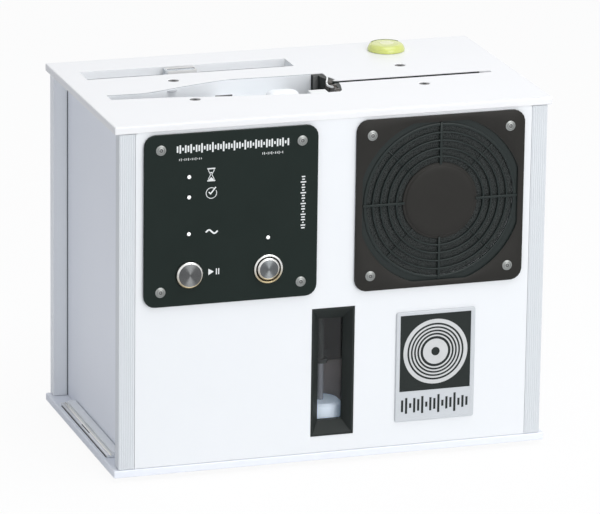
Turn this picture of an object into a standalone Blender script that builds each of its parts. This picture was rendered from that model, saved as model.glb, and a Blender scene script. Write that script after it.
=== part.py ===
"""A record cleaning machine: a white cabinet with aluminium corner profiles that washes and dries a record.

Metres, +Z up, front towards -Y. The origin is on the floor under the middle of the two end plates.
"""

import math

import bmesh
import bpy
from mathutils import Matrix, Vector

# Clearances and cutters
SEAT = 0.0003
OVERRUN = 0.0030
WELD = 0.00001

# End plates and feet
PLATE_DEPTH = 0.1884
PLATE_THICKNESS = 0.0057
PLATE_EDGE_ROUND = 0.0009
OVERHANG_X = 0.0036
OVERHANG_Y = 0.0007
FOOT_HEIGHT = 0.0037
FOOT_RADIUS = 0.0080
FOOT_EDGE_ROUND = 0.0006
FOOT_INSET = 0.0260
FOOT_STUD_RADIUS = 0.0017
FOOT_STUD_SHORT = 0.0008

# Corner profiles and panels
PROFILE_WIDTH = 0.0116
PROFILE_DEPTH = 0.0095
PROFILE_LEG_WIDTH = 0.0073
PROFILE_LEG_DEPTH = 0.0132
PANEL_THICKNESS = 0.0040
SIDE_THICKNESS = 0.0020
SIDE_INSET = 0.0108

# Ledge strip beside the left panel
LEDGE_WIDTH = 0.0054
LEDGE_LENGTH = 0.1288
LEDGE_HEIGHT = 0.0012
LEDGE_RAISED_WIDTH = 0.0048
LEDGE_RAISED_HEIGHT = 0.0032
LEDGE_RAISED_LENGTH = 0.1240
LEDGE_SLOT_WIDTH = 0.0016
LEDGE_SLOT_LENGTH = 0.0230

# Screws of the two front plates
FRONT_SCREW_PITCH = 0.1047
FRONT_SCREW_HEAD_RADIUS = 0.0040
FRONT_SCREW_HEAD_HEIGHT = 0.0014
FRONT_SCREW_RADIUS = 0.0019
FRONT_SCREW_LENGTH = 0.0100
FRONT_SCREW_SOCKET_RADIUS = 0.0016
FRONT_SCREW_SOCKET_DEPTH = 0.0009
SCREW_CLEARANCE = 0.0003

# Control plate, lamps, buttons and board
CONTROL_MARGIN = 0.0175
CONTROL_DROP = 0.0652
CONTROL_WIDTH = 0.1290
CONTROL_HEIGHT = 0.1269
CONTROL_SCREW_INSET = 0.01215
CONTROL_CORNER = 0.0085
FRONT_PLATE_THICKNESS = 0.0022
FRONT_PLATE_EDGE_ROUND = 0.0005
LAMP_RADIUS = 0.00165
LAMP_PROUD = 0.0004
LAMP_COLUMN_OFFSET = 0.0316
LAMP_ROW_OFFSETS = (0.0316, 0.0167, -0.0104)
POWER_LAMP_OFFSET_X = 0.0274
POWER_LAMP_OFFSET_Z = 0.0173
BUTTON_DROP = 0.0406
START_OFFSET = 0.0310
POWER_OFFSET = 0.0277
BUTTON_PROUD = 0.0030
BUTTON_TRAVEL = 0.0015
BUTTON_CHAMFER = 0.0009
BUTTON_BODY_RADIUS = 0.0096
BUTTON_STEM_RADIUS = 0.0030
BUTTON_STEM_LENGTH = 0.0070
START_CAP_RADIUS = 0.0098
START_CAP_LENGTH = 0.0060
POWER_RING_RADIUS = 0.01085
POWER_RING_PROUD = 0.0021
POWER_CAP_RADIUS = 0.0084
POWER_CAP_LENGTH = 0.0070
BOARD_INSET = 0.0070
BOARD_HEIGHT = 0.1120
BOARD_THICKNESS = 0.0016
BOARD_SETBACK = 0.0100

# Fan, its guard, foam and hood
GUARD_MARGIN = 0.01765
GUARD_DROP = 0.0654
GUARD_GAP = 0.02895
GUARD_SIZE = 0.1277
GUARD_CORNER = 0.0090
GUARD_HUB_RADIUS = 0.0260
GUARD_RING_PITCH = 0.00595
GUARD_SLOT_WIDTH = 0.0036
GUARD_RING_COUNT = 5
GUARD_SPOKE_WIDTH = 0.0020
GUARD_RECESS_RADIUS = 0.0625
GUARD_RECESS_HALF = 0.0590
GUARD_RECESS_DEPTH = 0.0008
FAN_HOLE_RADIUS = 0.0560
FAN_SIZE = 0.1200
FAN_DEPTH = 0.0250
FAN_CORNER = 0.0050
FAN_BORE_RADIUS = 0.0570
FAN_HUB_RADIUS = 0.0225
FAN_HUB_RECESS = 0.0022
FAN_BLADE_COUNT = 7
FAN_BLADE_TIP_GAP = 0.0030
FAN_BLADE_CHORD = 0.0190
FAN_BLADE_THICKNESS = 0.0020
FAN_BLADE_PITCH = math.radians(40.0)
FAN_BLADE_ROOT = 0.0030
FAN_SPIDER_THICKNESS = 0.0028
FAN_SPIDER_ARM_WIDTH = 0.0080
HOOD_WALL = 0.0016
HOOD_INSET = 0.0010
HOOD_OUTLET_WIDTH = 0.1060
HOOD_OUTLET_HEIGHT = 0.0170
HOOD_OUTLET_TOP_GAP = 0.0036

# Window, badge
WINDOW_WIDTH = 0.0320
WINDOW_RISE = 0.0124
WINDOW_OVER_TANK = 0.0067
WINDOW_RIM = 0.0014
WINDOW_CLEAR_WIDTH = 0.0185
WINDOW_SILL = 0.0095
BEZEL_PROUD = 0.0004
PANE_THICKNESS = 0.0015
PANE_LAP = 0.0045
BEZEL_STRAIGHT = 0.0010
BADGE_INSET = 0.0823
BADGE_DROP = 0.1241
BADGE_WIDTH = 0.0604
BADGE_HEIGHT = 0.0833
BADGE_THICKNESS = 0.0012
BADGE_CORNER = 0.0012

# Water tank, lid, float and pump
TANK_SIDE_GAP = 0.0040
TANK_REAR_GAP = 0.0155
TANK_SETBACK = 0.0095
TANK_HEIGHT = 0.1020
TANK_WALL = 0.0025
TANK_WINDOW_WIDTH = 0.0220
TANK_WINDOW_SILL = 0.02155
TANK_WINDOW_HEAD = 0.00245
LID_THICKNESS = 0.0030
FLOAT_RADIUS = 0.0150
FLOAT_HEIGHT = 0.0140
FLOAT_TRAVEL = 0.0280
FLOAT_CLEARANCE = 0.0005
FLOAT_EDGE_ROUND = 0.0020
FLOAT_SETBACK = 0.0190
FLOAT_LIFT = 0.0170
STEM_RADIUS = 0.0022
STEM_COLLAR_RADIUS = 0.0050
STEM_STOP_HEIGHT = 0.0030
STEM_BASE_THICKNESS = 0.0024
STEM_BASE_WIDTH = 0.0080
STEM_PLATE_WIDTH = 0.0240
STEM_PLATE_HEIGHT = 0.0480
STEM_PLATE_THICKNESS = 0.0020
STEM_PLATE_SETBACK = 0.0180
PUMP_SIDE_GAP = 0.0145
PUMP_REAR_GAP = 0.0175
PUMP_WIDTH = 0.0380
PUMP_DEPTH = 0.0280
PUMP_HEIGHT = 0.0320
HOSE_RADIUS = 0.0040
HOSE_CLEARANCE = 0.0006
HOSE_RISE = 0.0520
HOSE_BEND_RADIUS = 0.0140
HOSE_PORT_RADIUS = 0.0030

# Record geometry
RECORD_RADIUS = 0.1508
RECORD_RISE = 0.0420
RECORD_PLANE_Y = -0.0128

# Wash tub
TUB_HALF_DEPTH = 0.0292
TUB_WALL = 0.0023
TUB_FLOOR_GAP = 0.0078
ROLLER_FLOOR_GAP = 0.0110
TUB_SHOULDER_DROP = 0.0236
TUB_AIR_SLOT_WIDTH = 0.1000
TUB_AIR_SLOT_HEIGHT = 0.0100
TUB_AIR_SLOT_DROP = 0.0106
BOSS_RADIUS = 0.0045
BOSS_HEIGHT = 0.0130

# Top plate openings and screws
OPENING_END_MARGIN = 0.0183
OPENING_FRONT_REACH = 0.0267
OPENING_REAR_REACH = 0.0273
SLOT_WIDTH = 0.0052
SLOT_TIP_WIDTH = 0.0034
SLOT_SHOULDER = 0.0080
FRONT_EDGE_SHARES = (
    (-1.0, 0.28),
    (-0.883, 0.322),
    (-0.693, 0.434),
    (-0.599, 0.532),
    (-0.507, 0.625),
    (-0.413, 0.719),
    (-0.317, 0.775),
    (-0.22, 0.84),
    (-0.12, 0.93),
    (-0.034, 1.0),
    (0.154, 1.0),
    (0.178, 0.87),
)
REAR_EDGE_SHARES = (
    (0.192, 0.212),
    (0.168, 0.615),
    (0.165, 0.974),
    (-0.117, 0.963),
    (-0.314, 1.0),
    (-0.422, 0.875),
    (-0.576, 0.619),
    (-0.685, 0.396),
    (-0.806, 0.187),
    (-1.0, 0.205),
)
TOP_SCREW_INSET = 0.0770
TOP_SCREW_FRONT_Y = -0.0332
TOP_SCREW_REAR_Y = 0.0219
TOP_SCREW_RADIUS = 0.0019
TOP_SCREW_HEAD_RADIUS = 0.0040
TOP_SCREW_HEAD_DEPTH = 0.0022
TOP_SCREW_LENGTH = 0.0150
TOP_SCREW_SUNK = 0.0003

# Air nozzles
NOZZLE_START_X = 0.0280
NOZZLE_END_BACK = 0.0002
NOZZLE_HEIGHT = 0.0160
NOZZLE_REAR_DEPTH = 0.0150
NOZZLE_LIP = 0.00045
NOZZLE_LIP_GAP = 0.00012
NOZZLE_WALL = 0.0016
NOZZLE_SLIT = 0.0014
NOZZLE_END_GAP = 0.0005
NOZZLE_END_THICKNESS = 0.0040
CHEEK_THICKNESS = 0.0038
CHEEK_WIDTH = 0.0080

# Cleaning barrels and their gears
BARREL_CENTRE_X = -0.0315
BARREL_PITCH = 0.0260
BARREL_RADIUS = 0.0118
BARREL_HEIGHT = 0.0920
BARREL_LIFT = 0.0040
SHAFT_RADIUS = 0.0050
SHAFT_CLEARANCE = 0.0004
GEAR_TEETH = 20
GEAR_THICKNESS = 0.0060
GEAR_DROP = 0.0080
SHAFT_TAIL = 0.0020
GEAR_ADDENDUM = 0.0008
GEAR_DEDENDUM = 0.0012
PINION_TEETH = 10
PINION_SHAFT_RADIUS = 0.0015
TOOTH_ROOT_SHARE = 0.46
TOOTH_TIP_SHARE = 0.20
BARREL_MOTOR_RADIUS = 0.0150
BARREL_MOTOR_HEIGHT = 0.0136
MOTOR_SHAFT_GAP = 0.0005
PINION_SHAFT_LENGTH = 0.0100
BEARING_DEPTH = 0.0039
BRIDGE_GAP = 0.0010
BRIDGE_THICKNESS = 0.0045
BRIDGE_LENGTH = 0.0530
BRIDGE_CLEAR_HALF = 0.0042
BUMP_RIGHT_SETBACK = 0.0020
BUMP_LENGTH = 0.0240
BUMP_DEPTH = 0.0150
BUMP_SETBACK = 0.0010
BUMP_PROUD_HEIGHT = 0.0115
BUMP_SHARES = (
    (0.0, 0.62),
    (0.05, 0.85),
    (0.16, 0.97),
    (0.28, 1.0),
    (0.78, 1.0),
    (0.92, 0.93),
    (1.0, 0.76),
)
RAMP_LENGTH = 0.0250

# Record rollers
ROLLER_ANGLE = math.radians(28.0)
ROLLER_RADIUS = 0.0120
ROLLER_GROOVE_RADIUS = 0.0100
ROLLER_WIDTH = 0.0100
ROLLER_GROOVE_WIDTH = 0.0030
ROLLER_SHAFT_RADIUS = 0.0030
ROLLER_SHAFT_LENGTH = 0.0390
ROLLER_CLEARANCE = 0.0003
ROLLER_BOSS_RADIUS = 0.0065
ROLLER_BOSS_WALL = 0.0015
RECORD_MOTOR_RADIUS = 0.0150
RECORD_MOTOR_LENGTH = 0.0310

# Ultrasonic transducers
TRANSDUCER_BAR_LENGTH = 0.0860
TRANSDUCER_BAR_HEIGHT = 0.0300
TRANSDUCER_BAR_THICKNESS = 0.0030
TRANSDUCER_STACK_RADIUS = 0.0130
TRANSDUCER_STACK_LENGTH = 0.0130
TRANSDUCER_PITCH = 0.0480
TRANSDUCER_X = -0.0700
TRANSDUCER_RISE = 0.0470

# Air filter and its well
FILTER_HOLE_LEFT = 0.0170
FILTER_HOLE_WIDTH = 0.1576
FILTER_SCREW_GAP = 0.0174
FILTER_HOLE_DEPTH = 0.0222
WELL_WALL = 0.0013
WELL_HEIGHT = 0.0766
WELL_LEDGE = 0.0010
FILTER_CLEARANCE = 0.0006
FILTER_HEIGHT = 0.0720
FILTER_STEP_WIDTH = 0.0110
FILTER_STEP_DEPTH = 0.0040
GRIP_LENGTH = 0.0220
GRIP_THICKNESS = 0.0080
GRIP_HEIGHT = 0.0085
GRIP_FROM_LEFT = 0.0738
GRIP_FROM_FRONT = 0.0160

# Level and power socket
LEVEL_INSET_X = 0.0725
LEVEL_INSET_Y = 0.0272
LEVEL_RADIUS = 0.0140
LEVEL_PROUD = 0.0054
LEVEL_DOME = 0.0008
LEVEL_STEM_RADIUS = 0.0105
LEVEL_STEM_LENGTH = 0.0040
SOCKET_INSET = 0.0385
SOCKET_RISE = 0.0303
SOCKET_FLANGE_WIDTH = 0.0500
SOCKET_FLANGE_HEIGHT = 0.0240
SOCKET_FLANGE_THICKNESS = 0.0025
SOCKET_BODY_WIDTH = 0.0270
SOCKET_BODY_HEIGHT = 0.0195
SOCKET_BODY_LENGTH = 0.0180
SOCKET_WALL = 0.0018
SOCKET_POCKET_DEPTH = 0.0140
SOCKET_PIN_PITCH = 0.0070
SOCKET_PIN_WIDTH = 0.0020
SOCKET_PIN_HEIGHT = 0.0050
SOCKET_PIN_RISE = 0.0020
SOCKET_PIN_LENGTH = 0.0110

# Widths: the case spans the two front plates and their margins
CASE_WIDTH = CONTROL_MARGIN + CONTROL_WIDTH + GUARD_GAP + GUARD_SIZE + GUARD_MARGIN
PLATE_WIDTH = CASE_WIDTH + 2 * OVERHANG_X
HALF_X = CASE_WIDTH / 2
CONTROL_CENTRE_X = -HALF_X + CONTROL_MARGIN + CONTROL_WIDTH / 2
FAN_CENTRE_X = HALF_X - GUARD_MARGIN - GUARD_SIZE / 2
BADGE_CENTRE_X = HALF_X - BADGE_INSET
SIDE_OUTER_X = HALF_X - SIDE_INSET
SIDE_INNER_X = SIDE_OUTER_X - SIDE_THICKNESS
PANEL_HALF_X = HALF_X - PROFILE_WIDTH - SEAT
TANK_WIDTH = 2 * (SIDE_INNER_X - SEAT - PROFILE_LEG_WIDTH - TANK_SIDE_GAP)
PUMP_X = TANK_WIDTH / 2 - TANK_WALL - PUMP_SIDE_GAP - PUMP_WIDTH / 2
TUB_HALF_TOP = SIDE_INNER_X - SEAT
OPENING_HALF_LENGTH = PLATE_WIDTH / 2 - OPENING_END_MARGIN
NOZZLE_END_X = OPENING_HALF_LENGTH - SLOT_SHOULDER - NOZZLE_END_BACK
TOP_SCREW_X = PLATE_WIDTH / 2 - TOP_SCREW_INSET
LEVEL_X = PLATE_WIDTH / 2 - LEVEL_INSET_X
SOCKET_X = PANEL_HALF_X - SOCKET_INSET

# Depths: front, record plane and rear
HALF_Y = PLATE_DEPTH / 2 - OVERHANG_Y
PANEL_BACK_Y = -HALF_Y + PANEL_THICKNESS
PLATE_BACK_Y = -HALF_Y - SEAT
PLATE_FRONT_Y = PLATE_BACK_Y - FRONT_PLATE_THICKNESS
TUB_FRONT_Y = RECORD_PLANE_Y - TUB_HALF_DEPTH
TUB_REAR_Y = RECORD_PLANE_Y + TUB_HALF_DEPTH
TANK_FRONT_Y = -HALF_Y + TANK_SETBACK
TANK_REAR_Y = -PANEL_BACK_Y - TANK_REAR_GAP
PUMP_Y = TANK_REAR_Y - TANK_WALL - PUMP_REAR_GAP - PUMP_DEPTH / 2
FAN_FRONT_Y = PANEL_BACK_Y + SEAT
FAN_BACK_Y = FAN_FRONT_Y + FAN_DEPTH
LEVEL_Y = PLATE_DEPTH / 2 - LEVEL_INSET_Y
FILTER_HOLE_FRONT = TOP_SCREW_REAR_Y + FILTER_SCREW_GAP

# Heights: feet, plate, tank, lid, motor, gears, tub, record and top plate
BASE_Z = FOOT_HEIGHT + SEAT
FLOOR_Z = BASE_Z + PLATE_THICKNESS
LOW_Z = FLOOR_Z + SEAT
TANK_TOP_Z = LOW_Z + TANK_HEIGHT
LID_LOW_Z = TANK_TOP_Z + SEAT
LID_TOP_Z = LID_LOW_Z + LID_THICKNESS
MOTOR_TOP_Z = LID_TOP_Z + SEAT + BARREL_MOTOR_HEIGHT
GEAR_LOW_Z = MOTOR_TOP_Z + MOTOR_SHAFT_GAP + SHAFT_TAIL
TUB_FLOOR_Z = GEAR_LOW_Z + GEAR_THICKNESS + GEAR_DROP + TUB_WALL
RECORD_Z = TUB_FLOOR_Z + TUB_FLOOR_GAP + RECORD_RADIUS
TOP_Z = RECORD_Z - RECORD_RISE
ROOF_Z = TOP_Z - PLATE_THICKNESS
HIGH_Z = ROOF_Z - SEAT
CONTROL_CENTRE_Z = ROOF_Z - CONTROL_DROP
FAN_CENTRE_Z = ROOF_Z - GUARD_DROP
WINDOW_HEIGHT = TANK_HEIGHT - WINDOW_RISE + WINDOW_OVER_TANK
WINDOW_CENTRE_Z = LOW_Z + WINDOW_RISE + WINDOW_HEIGHT / 2
WINDOW_CLEAR_HEIGHT = WINDOW_HEIGHT - 2 * WINDOW_SILL
BADGE_CENTRE_Z = FAN_CENTRE_Z - BADGE_DROP
HOSE_TOP_Z = TUB_FLOOR_Z + HOSE_RISE
TRANSDUCER_Z = TUB_FLOOR_Z + TRANSDUCER_RISE
SOCKET_Z = FLOOR_Z + SOCKET_RISE
ROLLER_REACH = RECORD_RADIUS + ROLLER_GROOVE_RADIUS
ROLLER_X = ROLLER_REACH * math.sin(ROLLER_ANGLE)
TUB_FLOOR_HALF_WIDTH = ROLLER_X + ROLLER_RADIUS + ROLLER_FLOOR_GAP
BOARD_WIDTH = CONTROL_WIDTH - 2 * BOARD_INSET
BOARD_FRONT_Y = PANEL_BACK_Y + BOARD_SETBACK

LARGE_SIDES = 40
SIDES = 28
SMALL_SIDES = 12
SHARP_ANGLE = math.radians(35.0)

TURN_TO_AXIS = {
    "X": (0.0, math.radians(90.0), 0.0),
    "Y": (math.radians(-90.0), 0.0, 0.0),
    "Z": (0.0, 0.0, 0.0),
}
TURN_TO_PLANE = {
    "XY": (0.0, 0.0, 0.0),
    "XZ": (math.radians(90.0), 0.0, 0.0),
    "YZ": (math.radians(90.0), 0.0, math.radians(90.0)),
}

for leftover in list(bpy.data.objects):
    bpy.data.objects.remove(leftover, do_unlink=True)

MACHINE = bpy.data.collections.new("record_cleaning_machine")
CUTTERS = bpy.data.collections.new("cutters")
bpy.context.scene.collection.children.link(MACHINE)
bpy.context.scene.collection.children.link(CUTTERS)


def material(name, colour, roughness, metallic):
    paint = bpy.data.materials.new(name)
    paint.use_nodes = True
    shader = paint.node_tree.nodes["Principled BSDF"]
    shader.inputs["Base Color"].default_value = (*colour, 1.0)
    shader.inputs["Roughness"].default_value = roughness
    shader.inputs["Metallic"].default_value = metallic
    return paint


WHITE_LACQUER = material("white_lacquer", (0.90, 0.91, 0.92), 0.35, 0.0)
ALUMINIUM = material("anodised_aluminium", (0.78, 0.79, 0.80), 0.38, 0.9)
BLACK_PLATE = material("black_front_plate", (0.020, 0.029, 0.026), 0.40, 0.0)
BLACK_PLASTIC = material("black_plastic", (0.022, 0.019, 0.017), 0.45, 0.0)
STEEL = material("polished_steel", (0.72, 0.71, 0.69), 0.22, 1.0)
WHITE_PLASTIC = material("white_plastic", (0.85, 0.88, 0.92), 0.40, 0.0)
SILVER_PLATE = material("silver_plate", (0.70, 0.71, 0.72), 0.30, 0.8)
CLEAR_PANE = material("clear_pane", (0.80, 0.85, 0.88), 0.05, 0.0)
BOARD_GREEN = material("board_green", (0.05, 0.20, 0.10), 0.50, 0.0)
FOAM_GREY = material("foam_grey", (0.05, 0.05, 0.055), 0.95, 0.0)
RUBBER = material("black_rubber", (0.03, 0.03, 0.03), 0.80, 0.0)
FLEECE = material("barrel_fleece", (0.80, 0.82, 0.86), 0.90, 0.0)
GEAR_CREAM = material("gear_cream", (0.82, 0.80, 0.72), 0.45, 0.0)
LEVEL_YELLOW = material("level_yellow", (0.70, 0.80, 0.22), 0.12, 0.0)
TANK_GREY = material("tank_grey", (0.62, 0.66, 0.70), 0.45, 0.0)


def place(name, mesh, paint, location=(0.0, 0.0, 0.0), turn=(0.0, 0.0, 0.0)):
    """Puts a mesh in the scene as a named piece."""
    piece = bpy.data.objects.new(name, mesh)
    piece.location = location
    piece.rotation_euler = turn
    MACHINE.objects.link(piece)
    if paint is not None and not mesh.materials:
        mesh.materials.append(paint)
    return piece


def mesh_from(name, bm):
    mesh = bpy.data.meshes.new(name)
    bm.to_mesh(mesh)
    bm.free()
    return mesh


def box(name, low, high, paint=None):
    """A block between two corners."""
    size = Vector(high) - Vector(low)
    bm = bmesh.new()
    bmesh.ops.create_cube(bm, size=1.0, matrix=Matrix.Diagonal((*size, 1.0)))
    return place(name, mesh_from(name, bm), paint, (Vector(high) + Vector(low)) / 2)


def tapered_box(name, front_low, front_high, rear_low, rear_high, front_y, rear_y):
    """A block whose front and rear rectangles, given as (x, z) corners, differ."""
    bm = bmesh.new()
    bmesh.ops.create_cube(bm, size=1.0)
    for corner in bm.verts:
        low, high = (front_low, front_high) if corner.co.y < 0 else (rear_low, rear_high)
        y = front_y if corner.co.y < 0 else rear_y
        x = low[0] if corner.co.x < 0 else high[0]
        z = low[1] if corner.co.z < 0 else high[1]
        corner.co = (x, y, z)
    return place(name, mesh_from(name, bm), None)


def along(axis, start, distance):
    """The point at a distance from a start along one axis."""
    point = Vector(start)
    point["XYZ".index(axis)] += distance
    return point


def rod(name, start, axis, length, radius, paint=None, sides=SIDES, end_radius=None):
    """A round bar, or a cone, from a start point along an axis."""
    bm = bmesh.new()
    end_radius = radius if end_radius is None else end_radius
    bmesh.ops.create_cone(
        bm, cap_ends=True, segments=sides, radius1=radius, radius2=end_radius, depth=length
    )
    piece = place(name, mesh_from(name, bm), paint, along(axis, start, length / 2), TURN_TO_AXIS[axis])
    return smooth(piece)


def smooth(piece):
    piece.data.shade_smooth()
    piece.data.set_sharp_from_angle(angle=SHARP_ANGLE)
    return piece


def slab(name, points, plane, low, high, paint=None):
    """A flat outline in a plane, filled and extruded between two levels of the third axis."""
    return slabs(name, [points], plane, low, high, paint)


def slabs(name, outlines, plane, low, high, paint=None):
    """Several outlines in one plane, extruded alike."""
    curve = bpy.data.curves.new(name, "CURVE")
    curve.dimensions = "2D"
    curve.fill_mode = "BOTH"
    curve.extrude = (high - low) / 2
    for points in outlines:
        line = curve.splines.new("POLY")
        line.points.add(len(points) - 1)
        for point, (across, up) in zip(line.points, points):
            point.co = (across, up, 0.0, 1.0)
        line.use_cyclic_u = True
    middle = (high + low) / 2
    location = {"XY": (0.0, 0.0, middle), "XZ": (0.0, middle, 0.0), "YZ": (middle, 0.0, 0.0)}[plane]
    drawn = place(name, curve, None, location, TURN_TO_PLANE[plane])
    return as_mesh(drawn, paint)


def as_mesh(drawn, paint):
    """Replaces a curve object by a closed mesh object of the same name and place."""
    bpy.context.view_layer.update()
    name = drawn.name
    made = drawn.evaluated_get(bpy.context.evaluated_depsgraph_get())
    mesh = bpy.data.meshes.new_from_object(made)
    bm = bmesh.new()
    bm.from_mesh(mesh)
    bmesh.ops.remove_doubles(bm, verts=bm.verts, dist=WELD)
    bmesh.ops.recalc_face_normals(bm, faces=bm.faces)
    bm.to_mesh(mesh)
    bm.free()
    mesh.materials.clear()
    world = drawn.matrix_world.copy()
    bpy.data.objects.remove(drawn, do_unlink=True)
    piece = place(name, mesh, paint)
    piece.name = name
    piece.matrix_world = world
    mesh.name = name
    return piece


def turned(name, profile, start, axis, paint=None, sides=SIDES, closed=False):
    """A profile of (radius, distance along the axis), from far end to near one, turned round the axis."""
    bm = bmesh.new()
    points = [bm.verts.new((radius, 0.0, distance)) for radius, distance in profile]
    for near, far in zip(points, points[1:]):
        bm.edges.new((near, far))
    if closed:
        bm.edges.new((points[-1], points[0]))
    piece = place(name, mesh_from(name, bm), paint, start, TURN_TO_AXIS[axis])
    screw = piece.modifiers.new("turn", "SCREW")
    screw.axis = "Z"
    screw.steps = sides
    screw.render_steps = sides
    screw.use_merge_vertices = True
    screw.merge_threshold = WELD
    screw.use_smooth_shade = False
    return piece


def rounded(centre_x, centre_z, width, height, radius, steps=5):
    """The outline of a rectangle with rounded corners."""
    points = []
    for quarter, (side, rise) in enumerate(((1, 1), (-1, 1), (-1, -1), (1, -1))):
        x = centre_x + side * (width / 2 - radius)
        z = centre_z + rise * (height / 2 - radius)
        for step in range(steps + 1):
            angle = math.radians(90.0) * (quarter + step / steps)
            points.append((x + radius * math.cos(angle), z + radius * math.sin(angle)))
    return points


def tube(name, points, radius):
    """A round tube along a line of points, closed at both ends."""
    curve = bpy.data.curves.new(name, "CURVE")
    curve.dimensions = "3D"
    curve.bevel_depth = radius
    curve.bevel_resolution = 2
    curve.use_fill_caps = True
    line = curve.splines.new("POLY")
    line.points.add(len(points) - 1)
    for point, place_on_line in zip(line.points, points):
        point.co = (*place_on_line, 1.0)
    return as_mesh(place(name, curve, None), None)


def edge_round(piece, width, segments=2):
    bevel = piece.modifiers.new("edge round", "BEVEL")
    bevel.width = width
    bevel.segments = segments
    bevel.limit_method = "ANGLE"
    return piece


def combine(piece, operation, tools):
    for tool in tools:
        MACHINE.objects.unlink(tool)
        CUTTERS.objects.link(tool)
        tool.hide_render = True
        tool.display_type = "WIRE"
        change = piece.modifiers.new(tool.name, "BOOLEAN")
        change.operation = operation
        change.solver = "EXACT"
        change.object = tool
    return piece


def cut(piece, *tools):
    return combine(piece, "DIFFERENCE", tools)


def join(piece, *tools):
    return combine(piece, "UNION", tools)


# Feet and bottom plate
bottom_plate = box(
    "bottom_plate",
    (-PLATE_WIDTH / 2, -PLATE_DEPTH / 2, BASE_Z),
    (PLATE_WIDTH / 2, PLATE_DEPTH / 2, FLOOR_Z),
    WHITE_LACQUER,
)
edge_round(bottom_plate, PLATE_EDGE_ROUND)
foot_x = PLATE_WIDTH / 2 - FOOT_INSET
foot_y = PLATE_DEPTH / 2 - FOOT_INSET
stud_low_z = FOOT_HEIGHT / 2
for side_name, side in (("left", -1), ("right", 1)):
    for end_name, end in (("front", -1), ("rear", 1)):
        label = f"{end_name}_{side_name}"
        x = side * foot_x
        y = end * foot_y
        foot = rod(f"foot_{label}", (x, y, 0.0), "Z", FOOT_HEIGHT, FOOT_RADIUS, RUBBER)
        edge_round(foot, FOOT_EDGE_ROUND, 1)
        stud = rod(
            f"stud_{label}", (x, y, stud_low_z), "Z", FLOOR_Z - FOOT_STUD_SHORT - stud_low_z,
            FOOT_STUD_RADIUS, sides=SMALL_SIDES,
        )
        join(foot, stud)
        stud_hole = rod(
            f"stud_hole_{label}", (x, y, BASE_Z - OVERRUN), "Z", PLATE_THICKNESS + 2 * OVERRUN,
            FOOT_STUD_RADIUS + SCREW_CLEARANCE, sides=SMALL_SIDES,
        )
        cut(bottom_plate, stud_hole)

# Corner profiles, each a block at the corner with a leg behind the panels
leg_low_y = -HALF_Y + PANEL_THICKNESS + SEAT
leg_high_y = leg_low_y + PROFILE_LEG_DEPTH
block_back_y = -HALF_Y + PROFILE_DEPTH
leg_outer_x = SIDE_INNER_X - SEAT
leg_inner_x = leg_outer_x - PROFILE_LEG_WIDTH
block_inner_x = HALF_X - PROFILE_WIDTH
profile_outline = [
    (HALF_X, -HALF_Y),
    (block_inner_x, -HALF_Y),
    (block_inner_x, leg_low_y),
    (leg_inner_x, leg_low_y),
    (leg_inner_x, leg_high_y),
    (leg_outer_x, leg_high_y),
    (leg_outer_x, block_back_y),
    (HALF_X, block_back_y),
]
for side_name, side in (("left", -1), ("right", 1)):
    for end_name, end in (("front", 1), ("rear", -1)):
        points = [(side * x, end * y) for x, y in profile_outline]
        slab(f"corner_profile_{end_name}_{side_name}", points, "XY", LOW_Z, HIGH_Z, ALUMINIUM)

# Panels
front_panel = box(
    "front_panel", (-PANEL_HALF_X, -HALF_Y, LOW_Z), (PANEL_HALF_X, PANEL_BACK_Y, HIGH_Z), WHITE_LACQUER
)
rear_panel = box(
    "rear_panel", (-PANEL_HALF_X, -PANEL_BACK_Y, LOW_Z), (PANEL_HALF_X, HALF_Y, HIGH_Z), WHITE_LACQUER
)
side_half_y = HALF_Y - PROFILE_DEPTH - SEAT
box(
    "side_panel_left",
    (-SIDE_OUTER_X, -side_half_y, LOW_Z),
    (-SIDE_INNER_X, side_half_y, HIGH_Z),
    WHITE_LACQUER,
)
box(
    "side_panel_right",
    (SIDE_INNER_X, -side_half_y, LOW_Z),
    (SIDE_OUTER_X, side_half_y, HIGH_Z),
    WHITE_LACQUER,
)

# Ledge strip on the bottom plate, along the left panel
ledge_outer_x = -HALF_X
ledge_inner_x = ledge_outer_x + LEDGE_WIDTH
raised_inner_x = ledge_inner_x + LEDGE_RAISED_WIDTH
ledge_strip = box(
    "ledge_strip",
    (ledge_outer_x, -LEDGE_LENGTH / 2, LOW_Z),
    (ledge_inner_x, LEDGE_LENGTH / 2, LOW_Z + LEDGE_HEIGHT),
    ALUMINIUM,
)
raised = slab(
    "ledge_raised",
    rounded(
        (ledge_inner_x + raised_inner_x) / 2 - LEDGE_HEIGHT / 2, 0.0,
        LEDGE_RAISED_WIDTH + LEDGE_HEIGHT, LEDGE_RAISED_LENGTH, LEDGE_RAISED_WIDTH / 2,
    ),
    "XY", LOW_Z, LOW_Z + LEDGE_RAISED_HEIGHT,
)
ledge_slot = box(
    "ledge_slot",
    (ledge_outer_x + LEDGE_WIDTH / 3, -LEDGE_SLOT_LENGTH / 2, LOW_Z - OVERRUN),
    (ledge_outer_x + LEDGE_WIDTH / 3 + LEDGE_SLOT_WIDTH, LEDGE_SLOT_LENGTH / 2, HIGH_Z),
)
join(ledge_strip, raised)
cut(ledge_strip, ledge_slot)

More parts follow.
